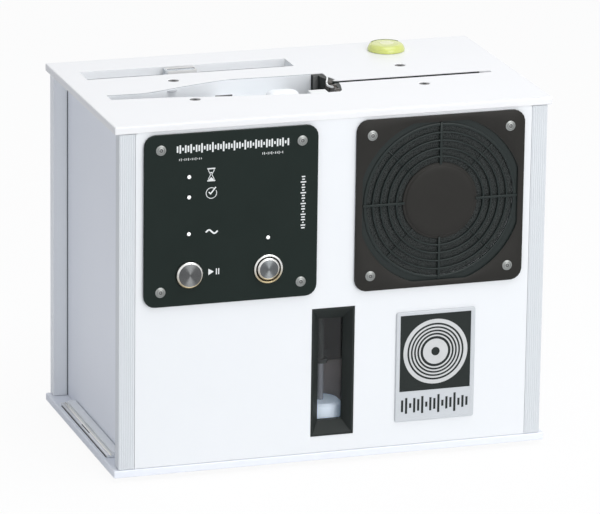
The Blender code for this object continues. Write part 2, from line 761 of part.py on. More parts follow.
# Control plate and fan guard blanks with their screws
control_plate = slab(
    "control_plate",
    rounded(CONTROL_CENTRE_X, CONTROL_CENTRE_Z, CONTROL_WIDTH, CONTROL_HEIGHT, CONTROL_CORNER),
    "XZ", PLATE_FRONT_Y, PLATE_BACK_Y, BLACK_PLATE,
)
edge_round(control_plate, FRONT_PLATE_EDGE_ROUND, 1)
fan_guard = slab(
    "fan_guard",
    rounded(FAN_CENTRE_X, FAN_CENTRE_Z, GUARD_SIZE, GUARD_SIZE, GUARD_CORNER),
    "XZ", PLATE_FRONT_Y, PLATE_BACK_Y, BLACK_PLASTIC,
)
edge_round(fan_guard, FRONT_PLATE_EDGE_ROUND, 1)
fan_frame = slab(
    "fan_frame",
    rounded(FAN_CENTRE_X, FAN_CENTRE_Z, FAN_SIZE, FAN_SIZE, FAN_CORNER, 3),
    "XZ", FAN_FRONT_Y, FAN_BACK_Y, BLACK_PLASTIC,
)
corners = (("low_left", -1, -1), ("high_left", -1, 1), ("low_right", 1, -1), ("high_right", 1, 1))
for plate, word, centre_x, centre_z, half_pitch in (
    (control_plate, "control", CONTROL_CENTRE_X, CONTROL_CENTRE_Z, CONTROL_WIDTH / 2 - CONTROL_SCREW_INSET),
    (fan_guard, "guard", FAN_CENTRE_X, FAN_CENTRE_Z, FRONT_SCREW_PITCH / 2),
):
    for corner_name, side, rise in corners:
        x = centre_x + side * half_pitch
        z = centre_z + rise * FRONT_SCREW_PITCH / 2
        head_front_y = PLATE_FRONT_Y - SEAT - FRONT_SCREW_HEAD_HEIGHT
        label = f"{word}_{corner_name}"
        head = rod(
            f"screw_{label}", (x, head_front_y, z), "Y", FRONT_SCREW_HEAD_HEIGHT,
            FRONT_SCREW_HEAD_RADIUS, STEEL, SMALL_SIDES,
        )
        shank = rod(
            f"shank_{label}", (x, head_front_y + FRONT_SCREW_HEAD_HEIGHT * 0.75, z), "Y",
            FRONT_SCREW_LENGTH, FRONT_SCREW_RADIUS, sides=SMALL_SIDES,
        )
        key = rod(
            f"key_{label}", (x, head_front_y - OVERRUN, z), "Y",
            OVERRUN + FRONT_SCREW_SOCKET_DEPTH, FRONT_SCREW_SOCKET_RADIUS, sides=6,
        )
        join(head, shank)
        cut(head, key)
        for target in (plate, front_panel, fan_frame):
            if target is fan_frame and plate is control_plate:
                continue
            hole = rod(
                f"hole_{label}_{target.name}", (x, head_front_y, z), "Y", FRONT_SCREW_LENGTH * 2,
                FRONT_SCREW_RADIUS + SCREW_CLEARANCE, sides=SMALL_SIDES,
            )
            cut(target, hole)

# Circuit board behind the panel, with its lamps and the start switch soldered on
control_board = box(
    "control_board",
    (CONTROL_CENTRE_X - BOARD_WIDTH / 2, BOARD_FRONT_Y, CONTROL_CENTRE_Z - BOARD_HEIGHT / 2),
    (
        CONTROL_CENTRE_X + BOARD_WIDTH / 2,
        BOARD_FRONT_Y + BOARD_THICKNESS,
        CONTROL_CENTRE_Z + BOARD_HEIGHT / 2,
    ),
    BOARD_GREEN,
)
lamp_places = [(-LAMP_COLUMN_OFFSET, rise) for rise in LAMP_ROW_OFFSETS]
lamp_places.append((POWER_LAMP_OFFSET_X, -POWER_LAMP_OFFSET_Z))
for index, (across, rise) in enumerate(lamp_places):
    start = (CONTROL_CENTRE_X + across, PLATE_FRONT_Y - LAMP_PROUD, CONTROL_CENTRE_Z + rise)
    length = BOARD_FRONT_Y + BOARD_THICKNESS / 2 - start[1]
    lamp = rod(f"lamp_{index}", start, "Y", length, LAMP_RADIUS, sides=SMALL_SIDES)
    join(control_board, lamp)
    for target in (control_plate, front_panel):
        hole = rod(
            f"lamp_hole_{index}_{target.name}", start, "Y", length, LAMP_RADIUS + SEAT, sides=SMALL_SIDES
        )
        cut(target, hole)

# Start button: a turned cap in a hole of the plate, over a switch body behind it
button_z = CONTROL_CENTRE_Z - BUTTON_DROP
start_x = CONTROL_CENTRE_X - START_OFFSET
power_x = CONTROL_CENTRE_X + POWER_OFFSET
cap_front_y = PLATE_FRONT_Y - BUTTON_PROUD
body_back_y = BOARD_FRONT_Y - SEAT


def button_cap(name, x, radius, length):
    """A pressed cap with a chamfered rim and a stem, its origin on its own axis."""
    profile = [
        (0.0, length + BUTTON_STEM_LENGTH),
        (BUTTON_STEM_RADIUS, length + BUTTON_STEM_LENGTH),
        (BUTTON_STEM_RADIUS, length),
        (radius, length),
        (radius, BUTTON_CHAMFER),
        (radius - BUTTON_CHAMFER, 0.0),
        (0.0, 0.0),
    ]
    return turned(name, profile, (x, cap_front_y, button_z), "Y", STEEL)


start_button_cap = button_cap("start_button_cap", start_x, START_CAP_RADIUS, START_CAP_LENGTH)
start_body_front_y = cap_front_y + START_CAP_LENGTH + BUTTON_TRAVEL + SEAT
start_switch = rod(
    "start_switch", (start_x, start_body_front_y, button_z), "Y",
    BOARD_FRONT_Y + BOARD_THICKNESS / 2 - start_body_front_y, BUTTON_BODY_RADIUS,
)
join(control_board, start_switch)
stem_end_y = cap_front_y + START_CAP_LENGTH + BUTTON_STEM_LENGTH + BUTTON_TRAVEL + SEAT
cut(
    control_board,
    rod(
        "start_bore", (start_x, cap_front_y, button_z), "Y", stem_end_y - cap_front_y,
        BUTTON_STEM_RADIUS + SCREW_CLEARANCE,
    ),
)
for target, radius in ((control_plate, START_CAP_RADIUS), (front_panel, START_CAP_RADIUS)):
    hole = rod(
        f"start_hole_{target.name}", (start_x, cap_front_y, button_z), "Y",
        START_CAP_LENGTH + 2 * FRONT_SCREW_LENGTH, radius + SEAT,
    )
    cut(target, hole)

# Power button: a ring on the plate with a cap in its well
power_button_cap = button_cap("power_button_cap", power_x, POWER_CAP_RADIUS, POWER_CAP_LENGTH)
ring_front_y = PLATE_FRONT_Y - POWER_RING_PROUD
well_floor_y = cap_front_y + POWER_CAP_LENGTH + BUTTON_TRAVEL + SEAT
power_stem_end_y = cap_front_y + POWER_CAP_LENGTH + BUTTON_STEM_LENGTH + BUTTON_TRAVEL + SEAT
ring_back_y = PLATE_FRONT_Y - SEAT
bore_radius = POWER_CAP_RADIUS + SEAT
stem_bore = BUTTON_STEM_RADIUS + SCREW_CLEARANCE
power_body_profile = [
    (0.0, body_back_y),
    (BUTTON_BODY_RADIUS, body_back_y),
    (BUTTON_BODY_RADIUS, ring_back_y),
    (POWER_RING_RADIUS, ring_back_y),
    (POWER_RING_RADIUS, ring_front_y + BUTTON_CHAMFER / 2),
    (POWER_RING_RADIUS - BUTTON_CHAMFER / 2, ring_front_y),
    (bore_radius, ring_front_y),
    (bore_radius, well_floor_y),
    (stem_bore, well_floor_y),
    (stem_bore, power_stem_end_y),
    (0.0, power_stem_end_y),
]
power_button_body = turned(
    "power_button_body",
    [(radius, y - ring_front_y) for radius, y in power_body_profile],
    (power_x, ring_front_y, button_z), "Y", STEEL,
)
for target in (control_plate, front_panel):
    hole = rod(
        f"power_hole_{target.name}", (power_x, cap_front_y, button_z), "Y",
        START_CAP_LENGTH + 2 * FRONT_SCREW_LENGTH, BUTTON_BODY_RADIUS + SEAT,
    )
    cut(target, hole)

# Fan guard: a recess, a hub and rings that open between four spokes
recess_points = []
for step in range(LARGE_SIDES):
    angle = math.tau * step / LARGE_SIDES
    across = max(-GUARD_RECESS_HALF, min(GUARD_RECESS_HALF, GUARD_RECESS_RADIUS * math.cos(angle)))
    rise = max(-GUARD_RECESS_HALF, min(GUARD_RECESS_HALF, GUARD_RECESS_RADIUS * math.sin(angle)))
    recess_points.append((FAN_CENTRE_X + across, FAN_CENTRE_Z + rise))
recess = slab(
    "guard_recess", recess_points, "XZ", PLATE_FRONT_Y - OVERRUN, PLATE_FRONT_Y + GUARD_RECESS_DEPTH
)
slot_outlines = []
for ring in range(GUARD_RING_COUNT):
    inner = GUARD_HUB_RADIUS + ring * GUARD_RING_PITCH + (GUARD_RING_PITCH - GUARD_SLOT_WIDTH)
    outer = inner + GUARD_SLOT_WIDTH
    arc_steps = 5 + ring // 2
    for quarter in range(4):
        points = []
        for radius, order in ((outer, range(arc_steps + 1)), (inner, range(arc_steps, -1, -1))):
            gap = math.asin(GUARD_SPOKE_WIDTH / 2 / radius)
            for step in order:
                angle = math.radians(90.0) * quarter + gap
                angle += (math.radians(90.0) - 2 * gap) * step / arc_steps
                points.append(
                    (FAN_CENTRE_X + radius * math.cos(angle), FAN_CENTRE_Z + radius * math.sin(angle))
                )
        slot_outlines.append(points)
slots = slabs("guard_slots", slot_outlines, "XZ", PLATE_FRONT_Y - OVERRUN, PLATE_BACK_Y + OVERRUN)
cut(fan_guard, recess, slots)
for change in fan_guard.modifiers:
    if change.type == "BOOLEAN":
        change.solver = "MANIFOLD"

# Fan hole in the panel with its foam, and the fan behind
fan_hole = rod(
    "fan_hole", (FAN_CENTRE_X, -HALF_Y - OVERRUN, FAN_CENTRE_Z), "Y",
    PANEL_THICKNESS + 2 * OVERRUN, FAN_HOLE_RADIUS, sides=LARGE_SIDES,
)
cut(front_panel, fan_hole)
rod(
    "fan_filter", (FAN_CENTRE_X, -HALF_Y, FAN_CENTRE_Z), "Y",
    PANEL_THICKNESS, FAN_HOLE_RADIUS - SEAT, FOAM_GREY, LARGE_SIDES,
)
fan_bore = rod(
    "fan_bore", (FAN_CENTRE_X, FAN_FRONT_Y - OVERRUN, FAN_CENTRE_Z), "Y",
    FAN_DEPTH + 2 * OVERRUN, FAN_BORE_RADIUS, sides=LARGE_SIDES,
)
cut(fan_frame, fan_bore)
spider_front_y = FAN_BACK_Y - FAN_SPIDER_THICKNESS
spider = rod(
    "fan_spider", (FAN_CENTRE_X, spider_front_y, FAN_CENTRE_Z), "Y", FAN_SPIDER_THICKNESS, FAN_HUB_RADIUS
)
arm_inset = FAN_SPIDER_THICKNESS / 8
arm_reach = (FAN_BORE_RADIUS + FAN_SIZE / 2) / 2
for index in range(3):
    arm = box(
        f"fan_arm_{index}",
        (0.0, -FAN_SPIDER_THICKNESS / 2 + arm_inset, -FAN_SPIDER_ARM_WIDTH / 2),
        (arm_reach, FAN_SPIDER_THICKNESS / 2 - arm_inset, FAN_SPIDER_ARM_WIDTH / 2),
    )
    centre = Vector((FAN_CENTRE_X, spider_front_y + FAN_SPIDER_THICKNESS / 2, FAN_CENTRE_Z))
    turn = Matrix.Rotation(math.tau * (index / 3 + 1 / 4), 4, "Y")
    arm.matrix_world = Matrix.Translation(centre) @ turn @ Matrix.Translation((arm_reach / 2, 0.0, 0.0))
    join(spider, arm)
join(fan_frame, spider)

# Air hood on the back of the fan frame, narrowing to the slot in the wash tub
tub_outer_front_y = TUB_FRONT_Y - TUB_WALL
hood_front_y = FAN_BACK_Y - HOOD_INSET
hood_rear_y = tub_outer_front_y - SEAT
hood_half = FAN_SIZE / 2 - HOOD_INSET
outlet_top_z = HIGH_Z - HOOD_OUTLET_TOP_GAP
outlet_low_z = outlet_top_z - HOOD_OUTLET_HEIGHT
outlet_half = HOOD_OUTLET_WIDTH / 2


def hood_block(name, inset, front_y, rear_y):
    """The tapering block between the fan and the tub, drawn in by an inset."""
    share = (front_y - hood_front_y) / (hood_rear_y - hood_front_y)
    rear_share = (rear_y - hood_front_y) / (hood_rear_y - hood_front_y)
    corners = []
    for at in (share, rear_share):
        half = hood_half + (outlet_half - hood_half) * at - inset
        low = FAN_CENTRE_Z - hood_half
        low += (outlet_low_z - low) * at + inset
        high = FAN_CENTRE_Z + hood_half
        high += (outlet_top_z - high) * at - inset
        corners.append(((FAN_CENTRE_X - half, low), (FAN_CENTRE_X + half, high)))
    return tapered_box(name, *corners[0], *corners[1], front_y, rear_y)


hood = hood_block("hood", 0.0, hood_front_y, hood_rear_y)
hood_inside = hood_block("hood_inside", HOOD_WALL, hood_front_y - HOOD_INSET, hood_rear_y + HOOD_INSET)
cut(hood, hood_inside)
join(fan_frame, hood)

# Fan rotor, turning on the fan's axis
rotor_front_y = FAN_FRONT_Y + FAN_HUB_RECESS
rotor_depth = spider_front_y - SEAT - rotor_front_y
fan_rotor = rod(
    "fan_rotor", (FAN_CENTRE_X, rotor_front_y, FAN_CENTRE_Z), "Y", rotor_depth, FAN_HUB_RADIUS, BLACK_PLASTIC
)
rotor_centre = Vector((FAN_CENTRE_X, rotor_front_y + rotor_depth / 2, FAN_CENTRE_Z))
blade_start = FAN_HUB_RADIUS - FAN_BLADE_ROOT
blade_end = FAN_BORE_RADIUS - FAN_BLADE_TIP_GAP
blade_half = Vector(((blade_end - blade_start) / 2, FAN_BLADE_THICKNESS / 2, FAN_BLADE_CHORD / 2))
for index in range(FAN_BLADE_COUNT):
    blade = box(f"fan_blade_{index}", -blade_half, blade_half)
    blade.matrix_world = (
        Matrix.Translation(rotor_centre)
        @ Matrix.Rotation(math.tau * index / FAN_BLADE_COUNT, 4, "Y")
        @ Matrix.Translation(((blade_start + blade_end) / 2, 0.0, 0.0))
        @ Matrix.Rotation(FAN_BLADE_PITCH, 4, "X")
    )
    join(fan_rotor, blade)

# Window: a black funnel in the panel, a clear pane behind it
bezel_front_y = -HALF_Y - BEZEL_PROUD
pane_front_y = TANK_FRONT_Y - SEAT - PANE_THICKNESS
bezel_rear_y = pane_front_y - SEAT
half_w = WINDOW_WIDTH / 2
half_h = WINDOW_HEIGHT / 2
window_low_z = WINDOW_CENTRE_Z - half_h
window_high_z = WINDOW_CENTRE_Z + half_h
window_bezel = box(
    "window_bezel",
    (-half_w, bezel_front_y, window_low_z),
    (half_w, bezel_rear_y, window_high_z),
    BLACK_PLASTIC,
)
funnel_rear_y = bezel_rear_y - BEZEL_STRAIGHT
funnel_depth = funnel_rear_y - bezel_front_y
clear_half_w = WINDOW_CLEAR_WIDTH / 2
clear_half_h = WINDOW_CLEAR_HEIGHT / 2
flare = (funnel_depth + OVERRUN) / funnel_depth
wide = clear_half_w + (half_w - WINDOW_RIM - clear_half_w) * flare
tall = clear_half_h + (half_h - WINDOW_RIM - clear_half_h) * flare
funnel = tapered_box(
    "funnel",
    (-wide, WINDOW_CENTRE_Z - tall),
    (wide, WINDOW_CENTRE_Z + tall),
    (-clear_half_w, WINDOW_CENTRE_Z - clear_half_h),
    (clear_half_w, WINDOW_CENTRE_Z + clear_half_h),
    bezel_front_y - OVERRUN,
    funnel_rear_y,
)
window_way = box(
    "window_way",
    (-clear_half_w, funnel_rear_y - BEZEL_STRAIGHT / 2, WINDOW_CENTRE_Z - clear_half_h),
    (clear_half_w, bezel_rear_y + OVERRUN, WINDOW_CENTRE_Z + clear_half_h),
)
cut(window_bezel, funnel, window_way)
panel_window = box(
    "panel_window",
    (-half_w - SEAT, -HALF_Y - OVERRUN, window_low_z - SEAT),
    (half_w + SEAT, PANEL_BACK_Y + OVERRUN, window_high_z + SEAT),
)
cut(front_panel, panel_window)
pane_half_w = TANK_WINDOW_WIDTH / 2 + PANE_LAP
window_hole_low_z = LOW_Z + TANK_WINDOW_SILL
window_hole_high_z = TANK_TOP_Z - TANK_WINDOW_HEAD
box(
    "window_pane",
    (-pane_half_w, pane_front_y, window_hole_low_z - PANE_LAP),
    (pane_half_w, pane_front_y + PANE_THICKNESS, window_hole_high_z + PANE_LAP),
    CLEAR_PANE,
)
badge_plate = slab(
    "badge_plate",
    rounded(BADGE_CENTRE_X, BADGE_CENTRE_Z, BADGE_WIDTH, BADGE_HEIGHT, BADGE_CORNER, 2),
    "XZ", PLATE_BACK_Y - BADGE_THICKNESS, PLATE_BACK_Y, SILVER_PLATE,
)

# Water tank, open at the top, with a window hole in its front wall
water_tank = box(
    "water_tank",
    (-TANK_WIDTH / 2, TANK_FRONT_Y, LOW_Z),
    (TANK_WIDTH / 2, TANK_REAR_Y, TANK_TOP_Z),
    TANK_GREY,
)
tank_inside = box(
    "tank_inside",
    (-TANK_WIDTH / 2 + TANK_WALL, TANK_FRONT_Y + TANK_WALL, LOW_Z + TANK_WALL),
    (TANK_WIDTH / 2 - TANK_WALL, TANK_REAR_Y - TANK_WALL, TANK_TOP_Z + OVERRUN),
)
tank_window = box(
    "tank_window",
    (-TANK_WINDOW_WIDTH / 2, TANK_FRONT_Y - OVERRUN, window_hole_low_z),
    (TANK_WINDOW_WIDTH / 2, TANK_FRONT_Y + TANK_WALL + OVERRUN, window_hole_high_z),
)
cut(water_tank, tank_inside, tank_window)

# Tank lid with the float's stem hanging from it
tank_lid = box(
    "tank_lid",
    (-TANK_WIDTH / 2, TANK_FRONT_Y, LID_LOW_Z),
    (TANK_WIDTH / 2, TANK_REAR_Y, LID_TOP_Z),
    TANK_GREY,
)
float_y = TANK_FRONT_Y + FLOAT_SETBACK
float_z = LOW_Z + FLOAT_LIFT
collar_z = float_z - SEAT - STEM_BASE_THICKNESS
stem_plate_y = float_y + STEM_PLATE_SETBACK
stem = rod(
    "stem", (0.0, float_y, collar_z + STEM_BASE_THICKNESS / 2), "Z",
    LID_LOW_Z + LID_THICKNESS / 2 - collar_z - STEM_BASE_THICKNESS / 2, STEM_RADIUS, sides=SMALL_SIDES,
)
collar = rod(
    "collar", (0.0, float_y, collar_z), "Z", STEM_BASE_THICKNESS, STEM_COLLAR_RADIUS, sides=SMALL_SIDES
)
stop_z = float_z + FLOAT_HEIGHT + FLOAT_TRAVEL + SEAT
stop_disc = rod(
    "stop_disc", (0.0, float_y, stop_z), "Z", STEM_STOP_HEIGHT, STEM_COLLAR_RADIUS, sides=SMALL_SIDES
)
base_step = STEM_BASE_THICKNESS / 6
stem_base = box(
    "stem_base",
    (-STEM_BASE_WIDTH / 2, float_y, collar_z + base_step),
    (STEM_BASE_WIDTH / 2, stem_plate_y + STEM_PLATE_THICKNESS / 2, float_z - SEAT - base_step),
)
stem_plate = box(
    "stem_plate",
    (-STEM_PLATE_WIDTH / 2, stem_plate_y, collar_z),
    (STEM_PLATE_WIDTH / 2, stem_plate_y + STEM_PLATE_THICKNESS, collar_z + STEM_PLATE_HEIGHT),
)
join(tank_lid, stem, collar, stop_disc, stem_base, stem_plate)
float_bore = STEM_RADIUS + FLOAT_CLEARANCE
turned(
    "float",
    [
        (float_bore, FLOAT_HEIGHT),
        (FLOAT_RADIUS - FLOAT_EDGE_ROUND, FLOAT_HEIGHT),
        (FLOAT_RADIUS, FLOAT_HEIGHT - FLOAT_EDGE_ROUND),
        (FLOAT_RADIUS, FLOAT_EDGE_ROUND),
        (FLOAT_RADIUS - FLOAT_EDGE_ROUND, 0.0),
        (float_bore, 0.0),
    ],
    (0.0, float_y, float_z), "Z", WHITE_PLASTIC, closed=True,
)

# Pump on the tank floor, with the pipe that feeds the wash tub
pump_low_z = LOW_Z + TANK_WALL + SEAT
pump_top_z = pump_low_z + PUMP_HEIGHT
pump = box(
    "pump",
    (PUMP_X - PUMP_WIDTH / 2, PUMP_Y - PUMP_DEPTH / 2, pump_low_z),
    (PUMP_X + PUMP_WIDTH / 2, PUMP_Y + PUMP_DEPTH / 2, pump_top_z),
    BLACK_PLASTIC,
)
hose_points = [(PUMP_X, PUMP_Y, pump_top_z - HOSE_RADIUS)]
for step in range(7):
    angle = math.radians(90.0) * step / 6
    y = PUMP_Y - HOSE_BEND_RADIUS * (1 - math.cos(angle))
    z = HOSE_TOP_Z - HOSE_BEND_RADIUS * (1 - math.sin(angle))
    hose_points.append((PUMP_X, y, z))
hose_points.append((PUMP_X, TUB_REAR_Y + TUB_WALL + SEAT, HOSE_TOP_Z))
join(pump, tube("feed_pipe", hose_points, HOSE_RADIUS))
cut(
    tank_lid,
    rod(
        "pipe_hole", (PUMP_X, PUMP_Y, LID_LOW_Z - OVERRUN), "Z", LID_THICKNESS + 2 * OVERRUN,
        HOSE_RADIUS + HOSE_CLEARANCE, sides=SMALL_SIDES,
    ),
)

# Wash tub: narrow and tall, its ends sloping in to the floor as the record's edge does
shoulder_z = HIGH_Z - TUB_SHOULDER_DROP
tub_outline = [
    (-TUB_HALF_TOP, HIGH_Z),
    (-TUB_HALF_TOP, shoulder_z),
    (-TUB_FLOOR_HALF_WIDTH - TUB_WALL / 2, TUB_FLOOR_Z - TUB_WALL),
    (TUB_FLOOR_HALF_WIDTH + TUB_WALL / 2, TUB_FLOOR_Z - TUB_WALL),
    (TUB_HALF_TOP, shoulder_z),
    (TUB_HALF_TOP, HIGH_Z),
]
inside_half = TUB_HALF_TOP - TUB_WALL
inside_outline = [
    (-inside_half, HIGH_Z + OVERRUN),
    (-inside_half, shoulder_z + TUB_WALL / 3),
    (-TUB_FLOOR_HALF_WIDTH + TUB_WALL / 2, TUB_FLOOR_Z),
    (TUB_FLOOR_HALF_WIDTH - TUB_WALL / 2, TUB_FLOOR_Z),
    (inside_half, shoulder_z + TUB_WALL / 3),
    (inside_half, HIGH_Z + OVERRUN),
]
wash_tub = slab("wash_tub", tub_outline, "XZ", tub_outer_front_y, TUB_REAR_Y + TUB_WALL, WHITE_PLASTIC)
tub_inside = slab("tub_inside", inside_outline, "XZ", TUB_FRONT_Y, TUB_REAR_Y)
air_slot_z = HIGH_Z - TUB_AIR_SLOT_DROP
air_slot = box(
    "air_slot",
    (
        FAN_CENTRE_X - TUB_AIR_SLOT_WIDTH / 2,
        tub_outer_front_y - OVERRUN,
        air_slot_z - TUB_AIR_SLOT_HEIGHT / 2,
    ),
    (FAN_CENTRE_X + TUB_AIR_SLOT_WIDTH / 2, TUB_FRONT_Y + OVERRUN, air_slot_z + TUB_AIR_SLOT_HEIGHT / 2),
)
feed_port = rod(
    "feed_port", (PUMP_X, TUB_REAR_Y - OVERRUN, HOSE_TOP_Z), "Y", TUB_WALL + 2 * OVERRUN,
    HOSE_PORT_RADIUS, sides=SMALL_SIDES,
)
cut(wash_tub, tub_inside, air_slot, feed_port)

# Bridges that hold the tops of the barrels, the front one with a rounded bump on it
barrel_low_z = TUB_FLOOR_Z + BARREL_LIFT
barrel_top_z = barrel_low_z + BARREL_HEIGHT
bridge_low_z = barrel_top_z + BRIDGE_GAP
bridge_top_z = bridge_low_z + BRIDGE_THICKNESS
bridge_left_x = BARREL_CENTRE_X - BRIDGE_LENGTH / 2
bridge_right_x = BARREL_CENTRE_X + BRIDGE_LENGTH / 2
front_bridge = box(
    "front_bridge",
    (bridge_left_x, TUB_FRONT_Y - TUB_WALL / 2, bridge_low_z),
    (bridge_right_x, RECORD_PLANE_Y - BRIDGE_CLEAR_HALF, bridge_top_z),
)
rear_bridge = box(
    "rear_bridge",
    (bridge_left_x, RECORD_PLANE_Y + BRIDGE_CLEAR_HALF, bridge_low_z),
    (bridge_right_x, TUB_REAR_Y + TUB_WALL / 2, bridge_top_z),
)
bump_right_x = bridge_right_x - BUMP_RIGHT_SETBACK
bump_left_x = bump_right_x - BUMP_LENGTH
bump_base_z = bridge_top_z - BRIDGE_THICKNESS / 4
bump_outline = [(bump_left_x - RAMP_LENGTH, bump_base_z)]
bump_outline += [
    (bump_left_x + BUMP_LENGTH * along_share, bridge_top_z + BUMP_PROUD_HEIGHT * height_share)
    for along_share, height_share in BUMP_SHARES
]
bump_outline.append((bump_right_x, bump_base_z))
bump_rear_y = RECORD_PLANE_Y - BRIDGE_CLEAR_HALF - BUMP_SETBACK
bump = slab("bump", bump_outline, "XZ", bump_rear_y - BUMP_DEPTH, bump_rear_y)
join(wash_tub, front_bridge, rear_bridge, bump)

# Screw bosses under the top plate: the front right screw goes into the front nozzle
screw_places = {
    "front_left": (-TOP_SCREW_X, TOP_SCREW_FRONT_Y),
    "front_right": (TOP_SCREW_X, TOP_SCREW_FRONT_Y),
    "rear_left": (-TOP_SCREW_X, TOP_SCREW_REAR_Y),
    "rear_right": (TOP_SCREW_X, TOP_SCREW_REAR_Y),
}
boss_low_z = HIGH_Z - BOSS_HEIGHT
for label, (x, y) in screw_places.items():
    if label == "front_right":
        continue
    boss = rod(f"boss_{label}", (x, y, boss_low_z), "Z", BOSS_HEIGHT, BOSS_RADIUS, sides=SMALL_SIDES)
    wall_y = TUB_FRONT_Y - TUB_WALL / 2 if label == "front_left" else TUB_REAR_Y + TUB_WALL / 2
    rib_step = BOSS_HEIGHT / 12
    rib = box(
        f"boss_rib_{label}",
        (x - BOSS_RADIUS / 2, min(y, wall_y), boss_low_z + rib_step),
        (x + BOSS_RADIUS / 2, max(y, wall_y), HIGH_Z - rib_step),
    )
    boss_hole = rod(
        f"boss_hole_{label}", (x, y, boss_low_z - OVERRUN), "Z", BOSS_HEIGHT + 2 * OVERRUN,
        TOP_SCREW_RADIUS + SCREW_CLEARANCE, sides=SMALL_SIDES,
    )
    join(wash_tub, boss, rib)
    cut(wash_tub, boss_hole)


def gear_outline(centre_x, centre_y, teeth, turn):
    """The outline of a spur gear of the barrels' module, turned by a share of a tooth."""
    pitch_radius = BARREL_PITCH / 2 * teeth / GEAR_TEETH
    root = pitch_radius - GEAR_DEDENDUM
    tip = pitch_radius + GEAR_ADDENDUM
    points = []
    for tooth in range(teeth):
        for radius, share in (
            (root, -TOOTH_ROOT_SHARE / 2),
            (tip, -TOOTH_TIP_SHARE / 2),
            (tip, TOOTH_TIP_SHARE / 2),
            (root, TOOTH_ROOT_SHARE / 2),
        ):
            angle = math.tau * (tooth + turn + share) / teeth
            points.append((centre_x + radius * math.cos(angle), centre_y + radius * math.sin(angle)))
    return points


# Four cleaning barrels, each a fleece sleeve on a shaft with a gear under the tub
gear_low_z = GEAR_LOW_Z
gear_top_z = gear_low_z + GEAR_THICKNESS
shaft_low_z = gear_low_z - SHAFT_TAIL
shaft_top_z = bridge_low_z + BEARING_DEPTH - SEAT
barrel_x = {"left": BARREL_CENTRE_X - BARREL_PITCH / 2, "right": BARREL_CENTRE_X + BARREL_PITCH / 2}
barrel_y = {"front": RECORD_PLANE_Y - BARREL_PITCH / 2, "rear": RECORD_PLANE_Y + BARREL_PITCH / 2}
for end_name, y in barrel_y.items():
    for side_name, x in barrel_x.items():
        label = f"{end_name}_{side_name}"
        barrel = rod(
            f"cleaning_barrel_{label}", (x, y, barrel_low_z), "Z", BARREL_HEIGHT, BARREL_RADIUS, FLEECE
        )
        shaft = rod(
            f"shaft_{label}", (x, y, shaft_low_z), "Z", shaft_top_z - shaft_low_z, SHAFT_RADIUS,
            sides=SMALL_SIDES,
        )
        half_tooth = 0.5 if label in ("front_right", "rear_left") else 0.0
        gear = slab(
            f"gear_{label}", gear_outline(x, y, GEAR_TEETH, half_tooth), "XY", gear_low_z, gear_top_z
        )
        join(barrel, shaft, gear)
        floor_hole = rod(
            f"floor_hole_{label}", (x, y, TUB_FLOOR_Z - TUB_WALL - OVERRUN), "Z",
            TUB_WALL + 2 * OVERRUN, SHAFT_RADIUS + SHAFT_CLEARANCE, sides=SMALL_SIDES,
        )
        bearing = rod(
            f"bearing_{label}", (x, y, bridge_low_z - BRIDGE_GAP / 2), "Z",
            BRIDGE_GAP / 2 + BEARING_DEPTH, SHAFT_RADIUS + SHAFT_CLEARANCE, sides=SMALL_SIDES,
        )
        cut(wash_tub, floor_hole, bearing)

# Motor and pinion that drive the barrels
pinion_x = barrel_x["left"] - BARREL_PITCH / 2 * (1 + PINION_TEETH / GEAR_TEETH)
pinion_y = barrel_y["front"]
barrel_motor = rod(
    "barrel_motor", (pinion_x, pinion_y, LID_TOP_Z + SEAT), "Z", BARREL_MOTOR_HEIGHT,
    BARREL_MOTOR_RADIUS, STEEL,
)
pinion_shaft_low_z = gear_low_z - PINION_SHAFT_LENGTH
cut(
    barrel_motor,
    rod(
        "motor_bore", (pinion_x, pinion_y, pinion_shaft_low_z - SEAT), "Z", PINION_SHAFT_LENGTH,
        PINION_SHAFT_RADIUS + SCREW_CLEARANCE, sides=SMALL_SIDES,
    ),
)
pinion = rod(
    "barrel_pinion", (pinion_x, pinion_y, pinion_shaft_low_z), "Z",
    gear_top_z - pinion_shaft_low_z + SHAFT_TAIL / 4, PINION_SHAFT_RADIUS, GEAR_CREAM, SMALL_SIDES,
)
pinion_gear = slab(
    "pinion_gear", gear_outline(pinion_x, pinion_y, PINION_TEETH, 0.5), "XY", gear_low_z, gear_top_z
)
join(pinion, pinion_gear)

# Two grooved rollers that carry the record's edge, the right one driven
roller_z = RECORD_Z - ROLLER_REACH * math.cos(ROLLER_ANGLE)
roller_front_y = RECORD_PLANE_Y - ROLLER_WIDTH / 2
groove_low = (ROLLER_WIDTH - ROLLER_GROOVE_WIDTH) / 2
groove_high = (ROLLER_WIDTH + ROLLER_GROOVE_WIDTH) / 2
shaft_end = ROLLER_WIDTH + ROLLER_SHAFT_LENGTH
roller_profile = [
    (0.0, shaft_end),
    (ROLLER_SHAFT_RADIUS, shaft_end),
    (ROLLER_SHAFT_RADIUS, ROLLER_WIDTH),
    (ROLLER_RADIUS, ROLLER_WIDTH),
    (ROLLER_RADIUS, groove_high),
    (ROLLER_GROOVE_RADIUS, groove_high),
    (ROLLER_GROOVE_RADIUS, groove_low),
    (ROLLER_RADIUS, groove_low),
    (ROLLER_RADIUS, 0.0),
    (0.0, 0.0),
]
wall_outer_y = TUB_REAR_Y + TUB_WALL
bore_end_y = roller_front_y + shaft_end + SEAT
